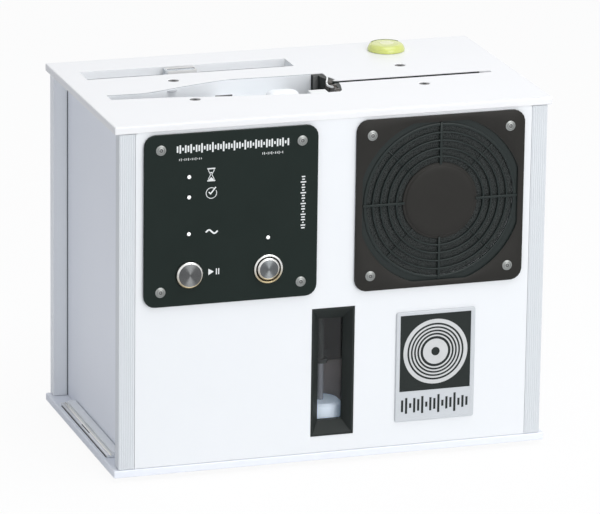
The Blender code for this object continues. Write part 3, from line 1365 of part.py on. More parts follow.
for name, side in (("idler_roller", -1), ("record_drive_roller", 1)):
    x = side * ROLLER_X
    turned(name, roller_profile, (x, roller_front_y, roller_z), "Y", RUBBER, SIDES)
    if side < 0:
        roller_boss = rod(
            f"{name}_boss", (x, TUB_REAR_Y + TUB_WALL / 2, roller_z), "Y",
            bore_end_y + ROLLER_BOSS_WALL - TUB_REAR_Y - TUB_WALL / 2, ROLLER_BOSS_RADIUS, sides=SMALL_SIDES,
        )
        join(wash_tub, roller_boss)
    else:
        record_motor = rod(
            "record_motor", (x, wall_outer_y + SEAT, roller_z), "Y", RECORD_MOTOR_LENGTH,
            RECORD_MOTOR_RADIUS, STEEL,
        )
    for target in (wash_tub, record_motor) if side > 0 else (wash_tub,):
        roller_bore = rod(
            f"{name}_bore_{target.name}", (x, TUB_REAR_Y - OVERRUN, roller_z), "Y",
            bore_end_y - TUB_REAR_Y + OVERRUN, ROLLER_SHAFT_RADIUS + ROLLER_CLEARANCE, sides=SMALL_SIDES,
        )
        cut(target, roller_bore)

# Ultrasonic transducers on a bar against the tub's front wall
bar_rear_y = tub_outer_front_y - SEAT
transducer_bar = box(
    "transducer_bar",
    (
        TRANSDUCER_X - TRANSDUCER_BAR_LENGTH / 2,
        bar_rear_y - TRANSDUCER_BAR_THICKNESS,
        TRANSDUCER_Z - TRANSDUCER_BAR_HEIGHT / 2,
    ),
    (TRANSDUCER_X + TRANSDUCER_BAR_LENGTH / 2, bar_rear_y, TRANSDUCER_Z + TRANSDUCER_BAR_HEIGHT / 2),
    STEEL,
)
for side in (-1, 1):
    stack = rod(
        f"stack_{side}",
        (TRANSDUCER_X + side * TRANSDUCER_PITCH / 2, bar_rear_y - TRANSDUCER_STACK_LENGTH, TRANSDUCER_Z),
        "Y", TRANSDUCER_STACK_LENGTH - TRANSDUCER_BAR_THICKNESS / 2, TRANSDUCER_STACK_RADIUS,
        sides=SMALL_SIDES,
    )
    join(transducer_bar, stack)

# Top plate with its record opening, the filter's hole, the level's hole and four screws
top_plate = box(
    "top_plate",
    (-PLATE_WIDTH / 2, -PLATE_DEPTH / 2, ROOF_Z),
    (PLATE_WIDTH / 2, PLATE_DEPTH / 2, TOP_Z),
    WHITE_LACQUER,
)
edge_round(top_plate, PLATE_EDGE_ROUND)
slot_front_y = RECORD_PLANE_Y - SLOT_WIDTH / 2
slot_rear_y = RECORD_PLANE_Y + SLOT_WIDTH / 2
front_edge = [
    (OPENING_HALF_LENGTH * across, RECORD_PLANE_Y - OPENING_FRONT_REACH * reach)
    for across, reach in FRONT_EDGE_SHARES
]
rear_edge = [
    (OPENING_HALF_LENGTH * across, RECORD_PLANE_Y + OPENING_REAR_REACH * reach)
    for across, reach in REAR_EDGE_SHARES
]
slot_edge = [
    (NOZZLE_START_X, slot_front_y),
    (OPENING_HALF_LENGTH - SLOT_SHOULDER, slot_front_y),
    (OPENING_HALF_LENGTH, RECORD_PLANE_Y - SLOT_TIP_WIDTH / 2),
    (OPENING_HALF_LENGTH, RECORD_PLANE_Y + SLOT_TIP_WIDTH / 2),
    (OPENING_HALF_LENGTH - SLOT_SHOULDER, slot_rear_y),
    (NOZZLE_START_X, slot_rear_y),
]
opening = slab(
    "record_opening", front_edge + slot_edge + rear_edge, "XY", ROOF_Z - OVERRUN, TOP_Z + OVERRUN
)
filter_left_x = -PLATE_WIDTH / 2 + FILTER_HOLE_LEFT
filter_right_x = filter_left_x + FILTER_HOLE_WIDTH
filter_rear_y = FILTER_HOLE_FRONT + FILTER_HOLE_DEPTH
filter_hole = box(
    "filter_hole",
    (filter_left_x, FILTER_HOLE_FRONT, ROOF_Z - OVERRUN),
    (filter_right_x, filter_rear_y, TOP_Z + OVERRUN),
)
level_hole = rod(
    "level_hole", (LEVEL_X, LEVEL_Y, ROOF_Z - OVERRUN), "Z", PLATE_THICKNESS + 2 * OVERRUN,
    LEVEL_STEM_RADIUS + SEAT,
)
cut(top_plate, opening, filter_hole, level_hole)
head_slope = (TOP_SCREW_HEAD_RADIUS - TOP_SCREW_RADIUS) / TOP_SCREW_HEAD_DEPTH
sink_start_z = TOP_Z - TOP_SCREW_SUNK - TOP_SCREW_HEAD_DEPTH
sink_length = TOP_SCREW_HEAD_DEPTH + TOP_SCREW_SUNK + OVERRUN
sink_radius = TOP_SCREW_RADIUS + SCREW_CLEARANCE
for label, (x, y) in screw_places.items():
    shank_hole = rod(
        f"top_hole_{label}", (x, y, ROOF_Z - OVERRUN), "Z", PLATE_THICKNESS + 2 * OVERRUN, sink_radius,
        sides=SMALL_SIDES,
    )
    sink = rod(
        f"top_sink_{label}", (x, y, sink_start_z), "Z", sink_length, sink_radius, sides=SMALL_SIDES,
        end_radius=sink_radius + head_slope * sink_length,
    )
    cut(top_plate, shank_hole, sink)
    screw_profile = [
        (0.0, TOP_SCREW_LENGTH),
        (TOP_SCREW_HEAD_RADIUS, TOP_SCREW_LENGTH),
        (TOP_SCREW_RADIUS, TOP_SCREW_LENGTH - TOP_SCREW_HEAD_DEPTH),
        (TOP_SCREW_RADIUS, 0.0),
        (0.0, 0.0),
    ]
    start = (x, y, TOP_Z - TOP_SCREW_SUNK - TOP_SCREW_LENGTH)
    turned(f"top_screw_{label}", screw_profile, start, "Z", STEEL, SMALL_SIDES)

# Air nozzles either side of the record, each with a lip standing in the slot
nozzle_low_z = HIGH_Z - NOZZLE_HEIGHT
lip_top_z = TOP_Z - SEAT
nozzle_left_x = NOZZLE_START_X - NOZZLE_END_THICKNESS
front_face_y = slot_front_y + NOZZLE_LIP_GAP + NOZZLE_LIP
rear_face_y = slot_rear_y - NOZZLE_LIP_GAP - NOZZLE_LIP
nozzle_wall_y = TUB_FRONT_Y + SEAT
front_nozzle_outline = [
    (nozzle_wall_y, nozzle_low_z),
    (front_face_y, nozzle_low_z),
    (front_face_y, lip_top_z),
    (front_face_y - NOZZLE_LIP, lip_top_z),
    (front_face_y - NOZZLE_LIP, HIGH_Z),
    (nozzle_wall_y, HIGH_Z),
]
nozzle_front = slab(
    "nozzle_front", front_nozzle_outline, "YZ", nozzle_left_x, NOZZLE_END_X, BLACK_PLASTIC
)
rear_back_y = rear_face_y + NOZZLE_REAR_DEPTH
rear_nozzle_outline = [
    (rear_face_y, nozzle_low_z),
    (rear_back_y, nozzle_low_z),
    (rear_back_y, HIGH_Z),
    (rear_face_y + NOZZLE_LIP, HIGH_Z),
    (rear_face_y + NOZZLE_LIP, lip_top_z),
    (rear_face_y, lip_top_z),
]
nozzle_rear = slab("nozzle_rear", rear_nozzle_outline, "YZ", nozzle_left_x, NOZZLE_END_X, BLACK_PLASTIC)

# The nozzles' ends, which show at the right of the wide opening
throat_front_x, throat_front_y = front_edge[-1]
rear_points = rear_edge[:3]
front_end = slab(
    "front_nozzle_end",
    [
        (NOZZLE_START_X - NOZZLE_END_GAP, front_face_y - NOZZLE_LIP),
        (NOZZLE_START_X - NOZZLE_END_THICKNESS, front_face_y - NOZZLE_LIP),
        (throat_front_x - NOZZLE_END_THICKNESS, throat_front_y + NOZZLE_END_GAP),
        (throat_front_x - NOZZLE_END_GAP, throat_front_y + NOZZLE_END_GAP),
    ],
    "XY", HIGH_Z - NOZZLE_HEIGHT / 2, lip_top_z,
)
join(nozzle_front, front_end)
edge_x = [x - NOZZLE_END_GAP for x, y in rear_points]
edge_y = [y for x, y in rear_points]
cheek_y = edge_y[2] - NOZZLE_END_GAP
rear_end = slab(
    "rear_nozzle_end",
    [
        (NOZZLE_START_X - NOZZLE_END_GAP, rear_face_y + NOZZLE_LIP),
        (edge_x[0], edge_y[0]),
        (edge_x[1], edge_y[1]),
        (edge_x[2], cheek_y),
        (edge_x[2] - CHEEK_WIDTH, cheek_y),
        (edge_x[2] - CHEEK_WIDTH, cheek_y - CHEEK_THICKNESS),
        (edge_x[2] - NOZZLE_END_THICKNESS, cheek_y - CHEEK_THICKNESS),
        (edge_x[1] - NOZZLE_END_THICKNESS, edge_y[1]),
        (edge_x[0] - NOZZLE_END_THICKNESS, edge_y[0]),
        (NOZZLE_START_X - NOZZLE_END_THICKNESS, rear_face_y + NOZZLE_LIP),
    ],
    "XY", HIGH_Z - NOZZLE_HEIGHT / 2, lip_top_z,
)
join(nozzle_rear, rear_end)
channel = box(
    "nozzle_channel",
    (nozzle_left_x + NOZZLE_WALL, nozzle_wall_y - OVERRUN, nozzle_low_z + NOZZLE_WALL),
    (NOZZLE_END_X - NOZZLE_WALL, front_face_y - NOZZLE_WALL, HIGH_Z - NOZZLE_WALL * 3),
)
slit = box(
    "nozzle_slit",
    (NOZZLE_START_X + NOZZLE_WALL, front_face_y - NOZZLE_WALL * 2, nozzle_low_z + NOZZLE_HEIGHT / 2),
    (
        NOZZLE_END_X - NOZZLE_WALL * 2,
        front_face_y + OVERRUN,
        nozzle_low_z + NOZZLE_HEIGHT / 2 + NOZZLE_SLIT,
    ),
)
nozzle_hole = rod(
    "nozzle_screw_hole", (TOP_SCREW_X, TOP_SCREW_FRONT_Y, nozzle_low_z + NOZZLE_WALL * 2), "Z",
    NOZZLE_HEIGHT, sink_radius, sides=SMALL_SIDES,
)
cut(nozzle_front, channel, slit, nozzle_hole)

# Air filter cartridge, lifted out by its grip, in a well under the top plate
well_low_z = HIGH_Z - WELL_HEIGHT
well_in_low = (filter_left_x + WELL_LEDGE, FILTER_HOLE_FRONT + WELL_LEDGE, well_low_z + WELL_WALL)
well_in_high = (filter_right_x - WELL_LEDGE, filter_rear_y - WELL_LEDGE, HIGH_Z + OVERRUN)
filter_well = box(
    "filter_well",
    (well_in_low[0] - WELL_WALL, well_in_low[1] - WELL_WALL, well_low_z),
    (well_in_high[0] + WELL_WALL, well_in_high[1] + WELL_WALL, HIGH_Z),
    WHITE_PLASTIC,
)
cut(filter_well, box("well_inside", well_in_low, well_in_high))
filter_low = (well_in_low[0] + FILTER_CLEARANCE, well_in_low[1] + FILTER_CLEARANCE, well_in_low[2] + SEAT)
filter_high = (
    well_in_high[0] - FILTER_CLEARANCE, well_in_high[1] - FILTER_CLEARANCE, filter_low[2] + FILTER_HEIGHT
)
filter_cartridge = box("filter_cartridge", filter_low, filter_high, WHITE_PLASTIC)
grip_x = filter_left_x + GRIP_FROM_LEFT
grip_y = FILTER_HOLE_FRONT + GRIP_FROM_FRONT
grip = box(
    "grip",
    (grip_x - GRIP_LENGTH / 2, grip_y - GRIP_THICKNESS / 2, filter_high[2] - GRIP_HEIGHT),
    (grip_x + GRIP_LENGTH / 2, grip_y + GRIP_THICKNESS / 2, filter_high[2] + GRIP_HEIGHT),
)
filter_step = box(
    "filter_step",
    (filter_high[0] - FILTER_STEP_WIDTH, filter_low[1] - OVERRUN, filter_high[2] - FILTER_STEP_DEPTH),
    (filter_high[0] + OVERRUN, filter_high[1] + OVERRUN, filter_high[2] + OVERRUN),
)
join(filter_cartridge, grip)
cut(filter_cartridge, filter_step)

# Bubble level, its stem in the top plate
level_top = LEVEL_STEM_LENGTH + LEVEL_PROUD
turned(
    "level_vial",
    [
        (0.0, level_top),
        (LEVEL_RADIUS * 0.6, level_top - LEVEL_DOME / 3),
        (LEVEL_RADIUS - LEVEL_DOME, level_top - LEVEL_DOME),
        (LEVEL_RADIUS, level_top - 2 * LEVEL_DOME),
        (LEVEL_RADIUS, LEVEL_STEM_LENGTH + SEAT),
        (LEVEL_STEM_RADIUS, LEVEL_STEM_LENGTH + SEAT),
        (LEVEL_STEM_RADIUS, 0.0),
        (0.0, 0.0),
    ],
    (LEVEL_X, LEVEL_Y, TOP_Z - LEVEL_STEM_LENGTH), "Z", LEVEL_YELLOW,
)

# Power socket in the rear panel
flange_y = HALF_Y + SEAT
power_socket = box(
    "power_socket",
    (SOCKET_X - SOCKET_FLANGE_WIDTH / 2, flange_y, SOCKET_Z - SOCKET_FLANGE_HEIGHT / 2),
    (
        SOCKET_X + SOCKET_FLANGE_WIDTH / 2,
        flange_y + SOCKET_FLANGE_THICKNESS,
        SOCKET_Z + SOCKET_FLANGE_HEIGHT / 2,
    ),
    BLACK_PLASTIC,
)
body_half_w = SOCKET_BODY_WIDTH / 2
body_half_h = SOCKET_BODY_HEIGHT / 2
socket_body = box(
    "socket_body",
    (SOCKET_X - body_half_w, flange_y - SOCKET_BODY_LENGTH, SOCKET_Z - body_half_h),
    (SOCKET_X + body_half_w, flange_y + SOCKET_FLANGE_THICKNESS / 2, SOCKET_Z + body_half_h),
)
pocket_floor_y = flange_y + SOCKET_FLANGE_THICKNESS - SOCKET_POCKET_DEPTH
pocket = box(
    "socket_pocket",
    (SOCKET_X - body_half_w + SOCKET_WALL, pocket_floor_y, SOCKET_Z - body_half_h + SOCKET_WALL),
    (SOCKET_X + body_half_w - SOCKET_WALL, flange_y + OVERRUN, SOCKET_Z + body_half_h - SOCKET_WALL),
)
join(power_socket, socket_body)
cut(power_socket, pocket)
for index, (across, rise) in enumerate(((-1, -1), (0, 1), (1, -1))):
    pin_x = SOCKET_X + across * SOCKET_PIN_PITCH
    pin_z = SOCKET_Z + rise * SOCKET_PIN_RISE
    pin = box(
        f"socket_pin_{index}",
        (pin_x - SOCKET_PIN_WIDTH / 2, pocket_floor_y - SOCKET_WALL / 2, pin_z - SOCKET_PIN_HEIGHT / 2),
        (pin_x + SOCKET_PIN_WIDTH / 2, pocket_floor_y + SOCKET_PIN_LENGTH, pin_z + SOCKET_PIN_HEIGHT / 2),
    )
    join(power_socket, pin)
socket_hole = box(
    "socket_hole",
    (SOCKET_X - body_half_w - SEAT, -PANEL_BACK_Y - OVERRUN, SOCKET_Z - body_half_h - SEAT),
    (SOCKET_X + body_half_w + SEAT, HALF_Y + OVERRUN, SOCKET_Z + body_half_h + SEAT),
)
cut(rear_panel, socket_hole)
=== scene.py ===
# %% [markdown]
# # A record cleaning machine
#
# The real machine is a white tabletop cabinet. A record is dipped through the slot in its top,
# turns between four fleece barrels in a small water tub, and is blown dry by a fan at the front.
# The CAD model gives every piece its place, and this script gives it its finish. The camera looks
# from the left and a little from above, as a shop photograph does.

# %% Load the model and keep its box
import math

import bmesh
import bpy
from mathutils import Matrix, Vector


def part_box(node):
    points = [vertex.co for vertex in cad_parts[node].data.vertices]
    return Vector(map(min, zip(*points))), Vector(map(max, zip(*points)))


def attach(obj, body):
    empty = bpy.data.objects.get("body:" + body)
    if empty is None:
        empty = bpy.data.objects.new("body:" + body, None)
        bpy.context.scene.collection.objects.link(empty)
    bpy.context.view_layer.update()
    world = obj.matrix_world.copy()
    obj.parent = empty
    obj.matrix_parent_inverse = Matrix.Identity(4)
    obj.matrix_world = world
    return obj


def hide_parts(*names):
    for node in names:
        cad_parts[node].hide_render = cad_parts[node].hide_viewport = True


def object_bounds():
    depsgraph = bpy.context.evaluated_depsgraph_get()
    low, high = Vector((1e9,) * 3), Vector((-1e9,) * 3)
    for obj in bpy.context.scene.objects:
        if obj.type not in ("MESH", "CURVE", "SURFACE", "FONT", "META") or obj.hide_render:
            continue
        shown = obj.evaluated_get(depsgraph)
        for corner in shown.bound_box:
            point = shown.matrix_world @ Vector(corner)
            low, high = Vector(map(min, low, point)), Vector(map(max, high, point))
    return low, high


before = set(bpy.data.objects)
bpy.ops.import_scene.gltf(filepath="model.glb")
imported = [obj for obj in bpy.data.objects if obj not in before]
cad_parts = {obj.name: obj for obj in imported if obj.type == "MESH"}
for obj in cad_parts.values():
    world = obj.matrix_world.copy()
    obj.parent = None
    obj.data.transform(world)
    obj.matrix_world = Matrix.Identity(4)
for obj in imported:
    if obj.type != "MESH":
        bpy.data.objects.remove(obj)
CAD_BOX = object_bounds()
MM = 0.001


def metres(values):
    """Lengths in metres, from millimetres."""
    return [value * MM for value in values]


# %% [markdown]
# ## Shader maths as Python
#
# A material is a small network of nodes. Linking sockets by hand takes a line for each wire, so one
# function adds a node with its settings and with the values or wires of its sockets. The class below
# wraps a socket and lets `mask * 0.5 + noise` add the Math nodes.


# %% Nodes, and a socket that can be added and multiplied
def plug(slot, value):
    """Links a signal or a socket to a slot, or sets the slot's own value."""
    if isinstance(value, Signal):
        value = value.socket
    if isinstance(value, bpy.types.NodeSocket):
        slot.id_data.links.new(value, slot)
    elif slot.type == "RGBA" and len(value) == 3:
        slot.default_value = (*value, 1.0)
    else:
        slot.default_value = value


def add_node(tree, kind, settings=None, **values):
    """Adds a node; _2 stands for its third input, and other names for themselves."""
    made = tree.nodes.new(kind)
    for key, value in (settings or {}).items():
        setattr(made, key, value)
    for name, value in values.items():
        plug(made.inputs[int(name[1:]) if name[1:].isdigit() else name.replace("_", " ")], value)
    return made


def add_math(tree, operation, *values):
    slots = {f"_{index}": value for index, value in enumerate(values)}
    return add_node(tree, "ShaderNodeMath", {"operation": operation}, **slots).outputs[0]


class Signal:
    """One output socket of a shader node, with operators that add Math nodes."""

    def __init__(self, socket):
        self.socket = socket

    def math(self, operation, *others):
        return Signal(add_math(self.socket.id_data, operation, self, *others))

    def __add__(self, other):
        return self.math("ADD", other)

    __radd__ = __add__

    def __sub__(self, other):
        return self.math("SUBTRACT", other)

    def __rsub__(self, other):
        return self * -1.0 + other

    def __mul__(self, other):
        return self.math("MULTIPLY", other)

    def __truediv__(self, other):
        return self.math("DIVIDE", other)

    def step(self, low, high):
        """0 below low, 1 above high and smooth between."""
        smooth = {"interpolation_type": "SMOOTHSTEP"}
        values = {"Value": self, "From Min": low, "From Max": high}
        return Signal(add_node(self.socket.id_data, "ShaderNodeMapRange", smooth, **values).outputs[0])


# %% [markdown]
# ## One finish, one function call
#
# `Finish` starts a material with a Principled shader. Values that are the same all over go straight
# onto the shader's own sockets, and only colour, roughness and relief are driven by textures. The
# patterns read Object coordinates, so a grain of 2 mm is 2 mm on every piece.


# %% A finish with helpers for coordinates, noise, colour and relief
class Finish:
    """A material under construction. Lengths are in millimetres."""

    def __init__(self, name, colour, roughness, metallic=0.0, **sockets):
        self.material = bpy.data.materials.new(name)
        self.material.use_nodes = True
        self.tree = self.material.node_tree
        self.shader = self.tree.nodes["Principled BSDF"]
        sockets.update(Base_Color=colour, Roughness=roughness, Metallic=metallic)
        for socket, value in sockets.items():
            self.give(socket.replace("_", " "), value)

    def give(self, socket, value):
        plug(self.shader.inputs[socket], value)

    def node(self, kind, settings=None, output=0, **values):
        return Signal(add_node(self.tree, "ShaderNode" + kind, settings, **values).outputs[output])

    def place(self, centre=(0.0, 0.0, 0.0), scale=(1.0, 1.0, 1.0)):
        """Object coordinates in metres, about a centre and stretched."""
        return self.node(
            "Mapping",
            {"vector_type": "TEXTURE"},
            Vector=self.node("TexCoord", output=3),
            Location=metres(centre),
            Scale=[1.0 / s for s in scale],
        )

    def noise(self, grain, detail=2.0, roughness=0.5, scale=(1.0, 1.0, 1.0)):
        """Noise whose lumps are about one grain wide."""
        where = self.place(scale=scale)
        size = 1.0 / (grain * MM)
        return self.node("TexNoise", Vector=where, Scale=size, Detail=detail, Roughness=roughness)

    def parts(self, centre):
        """The three distances from a centre, in metres, as signals."""
        split = add_node(self.tree, "ShaderNodeSeparateXYZ", _0=self.place(centre))
        return [Signal(out) for out in split.outputs]

    def mix(self, share, first, second):
        """A colour between two colours."""
        return self.node("Mix", {"data_type": "RGBA"}, 2, Factor=share, _6=first, _7=second)

    def relief(self, height, depth, strength):
        """Turns a height signal into a bumped normal, and hands over the finished material."""
        bump = self.node("Bump", Height=height, Distance=depth * MM, Strength=strength)
        self.give("Normal", bump)
        return self.material


# %% [markdown]
# ## Grain
#
# Almost every finish here is two colours mixed by two noises, a fine one and a broad one. The fine
# noise also gives the relief, and both sway the roughness. The finishes of one family differ in a few
# values only, so each family is a short function on top of `grained`.


# %% A finish from a fine and a broad noise
def weighed(signals, weights, base=0.0):
    return sum((signal * weight for signal, weight in zip(signals, weights) if weight), base)


def grained(name, first, second, fine, share, rough, relief, broad=(20,), metallic=0.0, **sockets):
    """Two colours under two noises.

    share has the weights of the fine and the broad noise in the colour; rough has a base value and
    then their weights in the roughness; relief has the depth and the strength of the fine noise. The
    broad noise is left out where neither has a weight for it.
    """
    finish = Finish(name, first, rough[0], metallic, **sockets)
    wanted = max(len(share), len(rough) - 1)
    noises = [finish.noise(*sizes) for sizes in (fine, broad)[:wanted]]
    finish.give("Base Color", finish.mix(weighed(noises, share), first, second))
    finish.give("Roughness", weighed(noises, rough[1:], rough[0]))
    return finish.relief(noises[0], *relief)


# %% [markdown]
# ## White lacquer and anodised aluminium
#
# The plates and panels are sheet aluminium with a baked white lacquer. Such a coat has a faint orange
# peel, and handling leaves patches that shine a little differently. The corner profiles are pushed
# through a die, which leaves fine lines along their length: noise that is stretched fifty times. The
# side panels and the bottom plate wear a bluer copy of the lacquer, which is painted shade, and the
# ledge and the rear profiles wear brighter copies, which are painted light.


# %% Lacquer for plates and panels, and metal with lines along one axis
def lacquer(name, colour, roughness=0.34):
    shaded = [c * 0.985 for c in colour]
    return grained(
        name, colour, shaded, (0.9,), (0.0, 1.0), (roughness - 0.05, 0.03, 0.10), (0.02, 0.35), (45, 3.0),
        IOR=1.48, Coat_Weight=0.12, Coat_Roughness=0.18,
    )


def lined(name, dark, light, rough, scale=(1.0, 1.0, 0.02), strength=0.5, **sockets):
    return grained(name, dark, light, (0.5, 3.0, 0.5, scale), (1.0,), rough, (0.03, strength), **sockets)


WHITE = lacquer("white_lacquer", (0.890, 0.895, 0.900))
WHITE_FRONT = lacquer("white_lacquer_front", (0.870, 0.890, 0.905), 0.30)
# painted shade: a bluer copy of the same lacquer, for the side panels and the bottom plate
WHITE_SIDE_SHADE_TINT = lacquer("white_lacquer_side_painted_shade", (0.885, 0.915, 0.975))
# painted light: a brighter copy of the same lacquer, for the ledge
WHITE_LEDGE_LIT = lacquer("white_lacquer_ledge_painted_light", (0.955, 0.980, 1.0))
ALUMINIUM = lined(
    "anodised_aluminium", (0.66, 0.69, 0.715), (0.74, 0.77, 0.79), (0.34, 0.12, 0.05),
    metallic=0.2, IOR=1.6, Anisotropic=0.3,
)
# painted light: a paler copy of the same aluminium, for the rear profiles
ALUMINIUM_REAR_LIT = lined("rear_aluminium_painted_light", (0.90, 0.925, 0.95), (0.955, 0.975, 0.99), (0.36, 0.12), IOR=1.6)
STRIP = (0.86, 0.86, 0.87)
BRIGHT_STRIP = lined("bright_strip", STRIP, STRIP, (0.22, 0.2), (1.0, 0.03, 1.0), 0.4, metallic=0.85)

# %% [markdown]
# ## Plastics and prints
#
# The control plate is printed metal with a smooth satin face. The guard is moulded plastic with the
# fine spark texture of its tool, which is warmer in colour and rougher. The tub, the float and the
# filter well are white mouldings with a cool tint. The float has a faint glow as well, painted light
# that stands for daylight through its thin wall, and the barrels' fleece has a nap that shows as sheen.


# %% Families of plastic, metal and ink
def moulded(name, dark, light, grain=0.55, roughness=0.42, depth=0.03, shine=0.5):
    return grained(
        name, dark, light, (grain, 3.0, 0.6), (0.3, 0.7), (roughness - 0.06, 0.12), (depth, 0.45), (25,),
        Specular_IOR_Level=shine,
    )


def plain_metal(name, light, dark, roughness=0.25, metallic=1.0):
    rough = (roughness - 0.05, 0.15)
    return grained(name, light, dark, (0.7, 3.0), (0.4, 0.6), rough, (0.01, 0.3), (6,), metallic)


def printed(name, first, second, roughness, shine=0.5):
    rest = {"Specular_IOR_Level": shine}
    return grained(name, first, second, (0.4, 3.0), (1.0,), (roughness,), (0.01, 0.3), **rest)


BLACK_SHINE = 0.15  # the specular level of black faces, which are matt in the photograph
CONTROL_BLACK = grained(
    "satin_black_print", (0.0130, 0.0200, 0.0175), (0.0160, 0.0240, 0.0210), (0.35,), (0.0, 1.0),
    (0.33, 0.06, 0.07), (0.01, 0.3), (30, 3.0), Specular_IOR_Level=0.08,
)
GUARD_BLACK = moulded("moulded_black", (0.0195, 0.0185, 0.0165), (0.026, 0.0248, 0.022), shine=BLACK_SHINE)
RING_BLACK = moulded("ring_black", (0.015, 0.021, 0.020), (0.021, 0.028, 0.0265), roughness=0.30, shine=0.2)
BEZEL_BLACK = moulded("bezel_black", (0.018, 0.022, 0.021), (0.028, 0.033, 0.031), shine=BLACK_SHINE)
NOZZLE_BLACK = moulded("nozzle_black", (0.022, 0.026, 0.025), (0.036, 0.040, 0.037), shine=BLACK_SHINE)
# dark plastic of the inner parts, and painted shade along the ledge rail
DARK_CORE_AND_SHADE = moulded("dark_core_and_painted_shade", (0.010, 0.010, 0.010), (0.016, 0.016, 0.016), roughness=0.6)
MOULDING = moulded("white_moulding", (0.93, 0.96, 0.985), (0.96, 0.98, 0.99), 1.2, 0.40, 0.02)
PALE_WELL = moulded("pale_moulding", (0.88, 0.93, 0.96), (0.93, 0.96, 0.98), 1.2, 0.38, 0.02)
TANK_GREY = moulded("tank_grey", (0.038, 0.047, 0.045), (0.052, 0.062, 0.060), 1.0, 0.5, 0.02, BLACK_SHINE)
BRACKET_GREY = moulded("bracket_grey", (0.30, 0.265, 0.265), (0.36, 0.32, 0.32), 1.0, 0.5, 0.02)
STEM_GREY = moulded("stem_grey", (0.24, 0.25, 0.285), (0.29, 0.30, 0.335), 1.0, 0.4, 0.02)
PIN_AND_GAP_SHADE_GREY = moulded("pin_and_gap_shade_grey", (0.42, 0.44, 0.46), (0.50, 0.52, 0.54), 1.0, 0.4, 0.01)
GEAR_CREAM = moulded("gear_cream", (0.72, 0.68, 0.56), (0.78, 0.74, 0.63), 1.0, 0.45, 0.02)
RUBBER = moulded("soft_rubber", (0.030, 0.030, 0.031), (0.045, 0.045, 0.046), 0.8, 0.62, 0.03)
BOARD_GREEN = moulded("board_green", (0.020, 0.110, 0.045), (0.030, 0.145, 0.060), 1.5, 0.40, 0.01)
GRIP_GREY = moulded("grip_grey", (0.68, 0.67, 0.65), (0.75, 0.745, 0.73), 0.9, 0.42, 0.02)
WHITE_LIP = moulded("white_lip", (0.86, 0.87, 0.86), (0.92, 0.93, 0.92), 0.7, 0.45, 0.02)
HINGE_BROWN = moulded("hinge_brown", (0.060, 0.052, 0.046), (0.125, 0.112, 0.100), 1.4, 0.38, 0.04)
# grey for painted shade in gaps
PAINTED_SHADE_GREY = moulded("painted_shade_grey", (0.10, 0.11, 0.13), (0.14, 0.15, 0.17), 1.0, 0.7, 0.01)
LEVEL_OLIVE = moulded("level_olive", (0.16, 0.20, 0.09), (0.24, 0.29, 0.13), 2.0, 0.25, 0.005)
LEVEL_PALE = moulded("level_pale", (0.76, 0.78, 0.42), (0.83, 0.84, 0.52), 2.0, 0.18, 0.005)

SCREW_STEEL = plain_metal("screw_steel", (0.40, 0.415, 0.40), (0.27, 0.28, 0.275), 0.34, 0.85)
# dark steel: the edge clip's own colour, and painted shade in the screws' sockets and the power button's well
CLIP_STEEL_AND_SOCKET_SHADE = plain_metal("clip_steel_and_socket_shade", (0.16, 0.16, 0.16), (0.08, 0.08, 0.08), 0.45, 0.6)
SHAFT_STEEL = plain_metal("shaft_steel", (0.70, 0.70, 0.69), (0.58, 0.58, 0.57), 0.26)
BADGE_SILVER = plain_metal("badge_silver", (0.62, 0.645, 0.665), (0.56, 0.585, 0.61), 0.5, 0.25)
HEAD_STEEL = plain_metal("head_steel", (0.20, 0.20, 0.20), (0.11, 0.11, 0.11), 0.42, 0.5)
EDGE_CHROME = plain_metal("chrome_ring", (0.86, 0.85, 0.80), (0.76, 0.74, 0.66), 0.16)
SILVER_INK = plain_metal("silver_ink", (0.66, 0.67, 0.67), (0.54, 0.55, 0.55), 0.4, 0.35)
WHITE_INK = printed("white_ink", (0.86, 0.88, 0.87), (0.74, 0.77, 0.76), 0.5)
DARK_INK = printed("dark_ink", (0.016, 0.021, 0.020), (0.026, 0.031, 0.029), 0.45, BLACK_SHINE)

# %% Float, lamps and fleece
# painted light: a faint bluish glow brightens the float
FLOAT_GLOWING_WHITE = grained(
    "float_painted_glow", (0.84, 0.91, 1.0), (0.90, 0.95, 1.0), (1.2, 3.0, 0.6), (1.0,), (0.34,), (0.02, 0.45),
    Emission_Strength=0.15, Emission_Color=(0.54, 0.76, 1.0),
)
FROST = (0.92, 0.93, 0.92)
LAMP = grained(
    "lamp_white", FROST, FROST, (0.5,), (1.0,), (0.22,), (0.01, 0.2),
    Emission_Strength=0.35, Emission_Color=(0.95, 0.97, 0.95), Coat_Weight=0.5,
)
FLEECE = grained(
    "white_fleece", (0.62, 0.66, 0.72), (0.88, 0.90, 0.92), (0.9, 4.0, 0.7), (0.6, 0.4), (0.95,),
    (0.5, 0.8), (5,), Sheen_Weight=0.6, Sheen_Roughness=0.4,
)

# %% [markdown]
# ## Foam, acrylic and turned steel
#
# The dust filter behind the guard and the cartridge's block are reticulated foam: Voronoi cells with
# their edges standing proud, and the hollows of the cells darkened as painted shade. The pane is clear
# acrylic, so it lets light through instead of being painted, and the level is tinted acrylic with a
# liquid inside. A lathe leaves rings on the face of a button cap, and rings spread a highlight into two
# bright fans, above and below the centre. A sine of the distance from the centre cuts the rings, and
# the direction from the centre sets the fans, which are a painted highlight in the base colour.


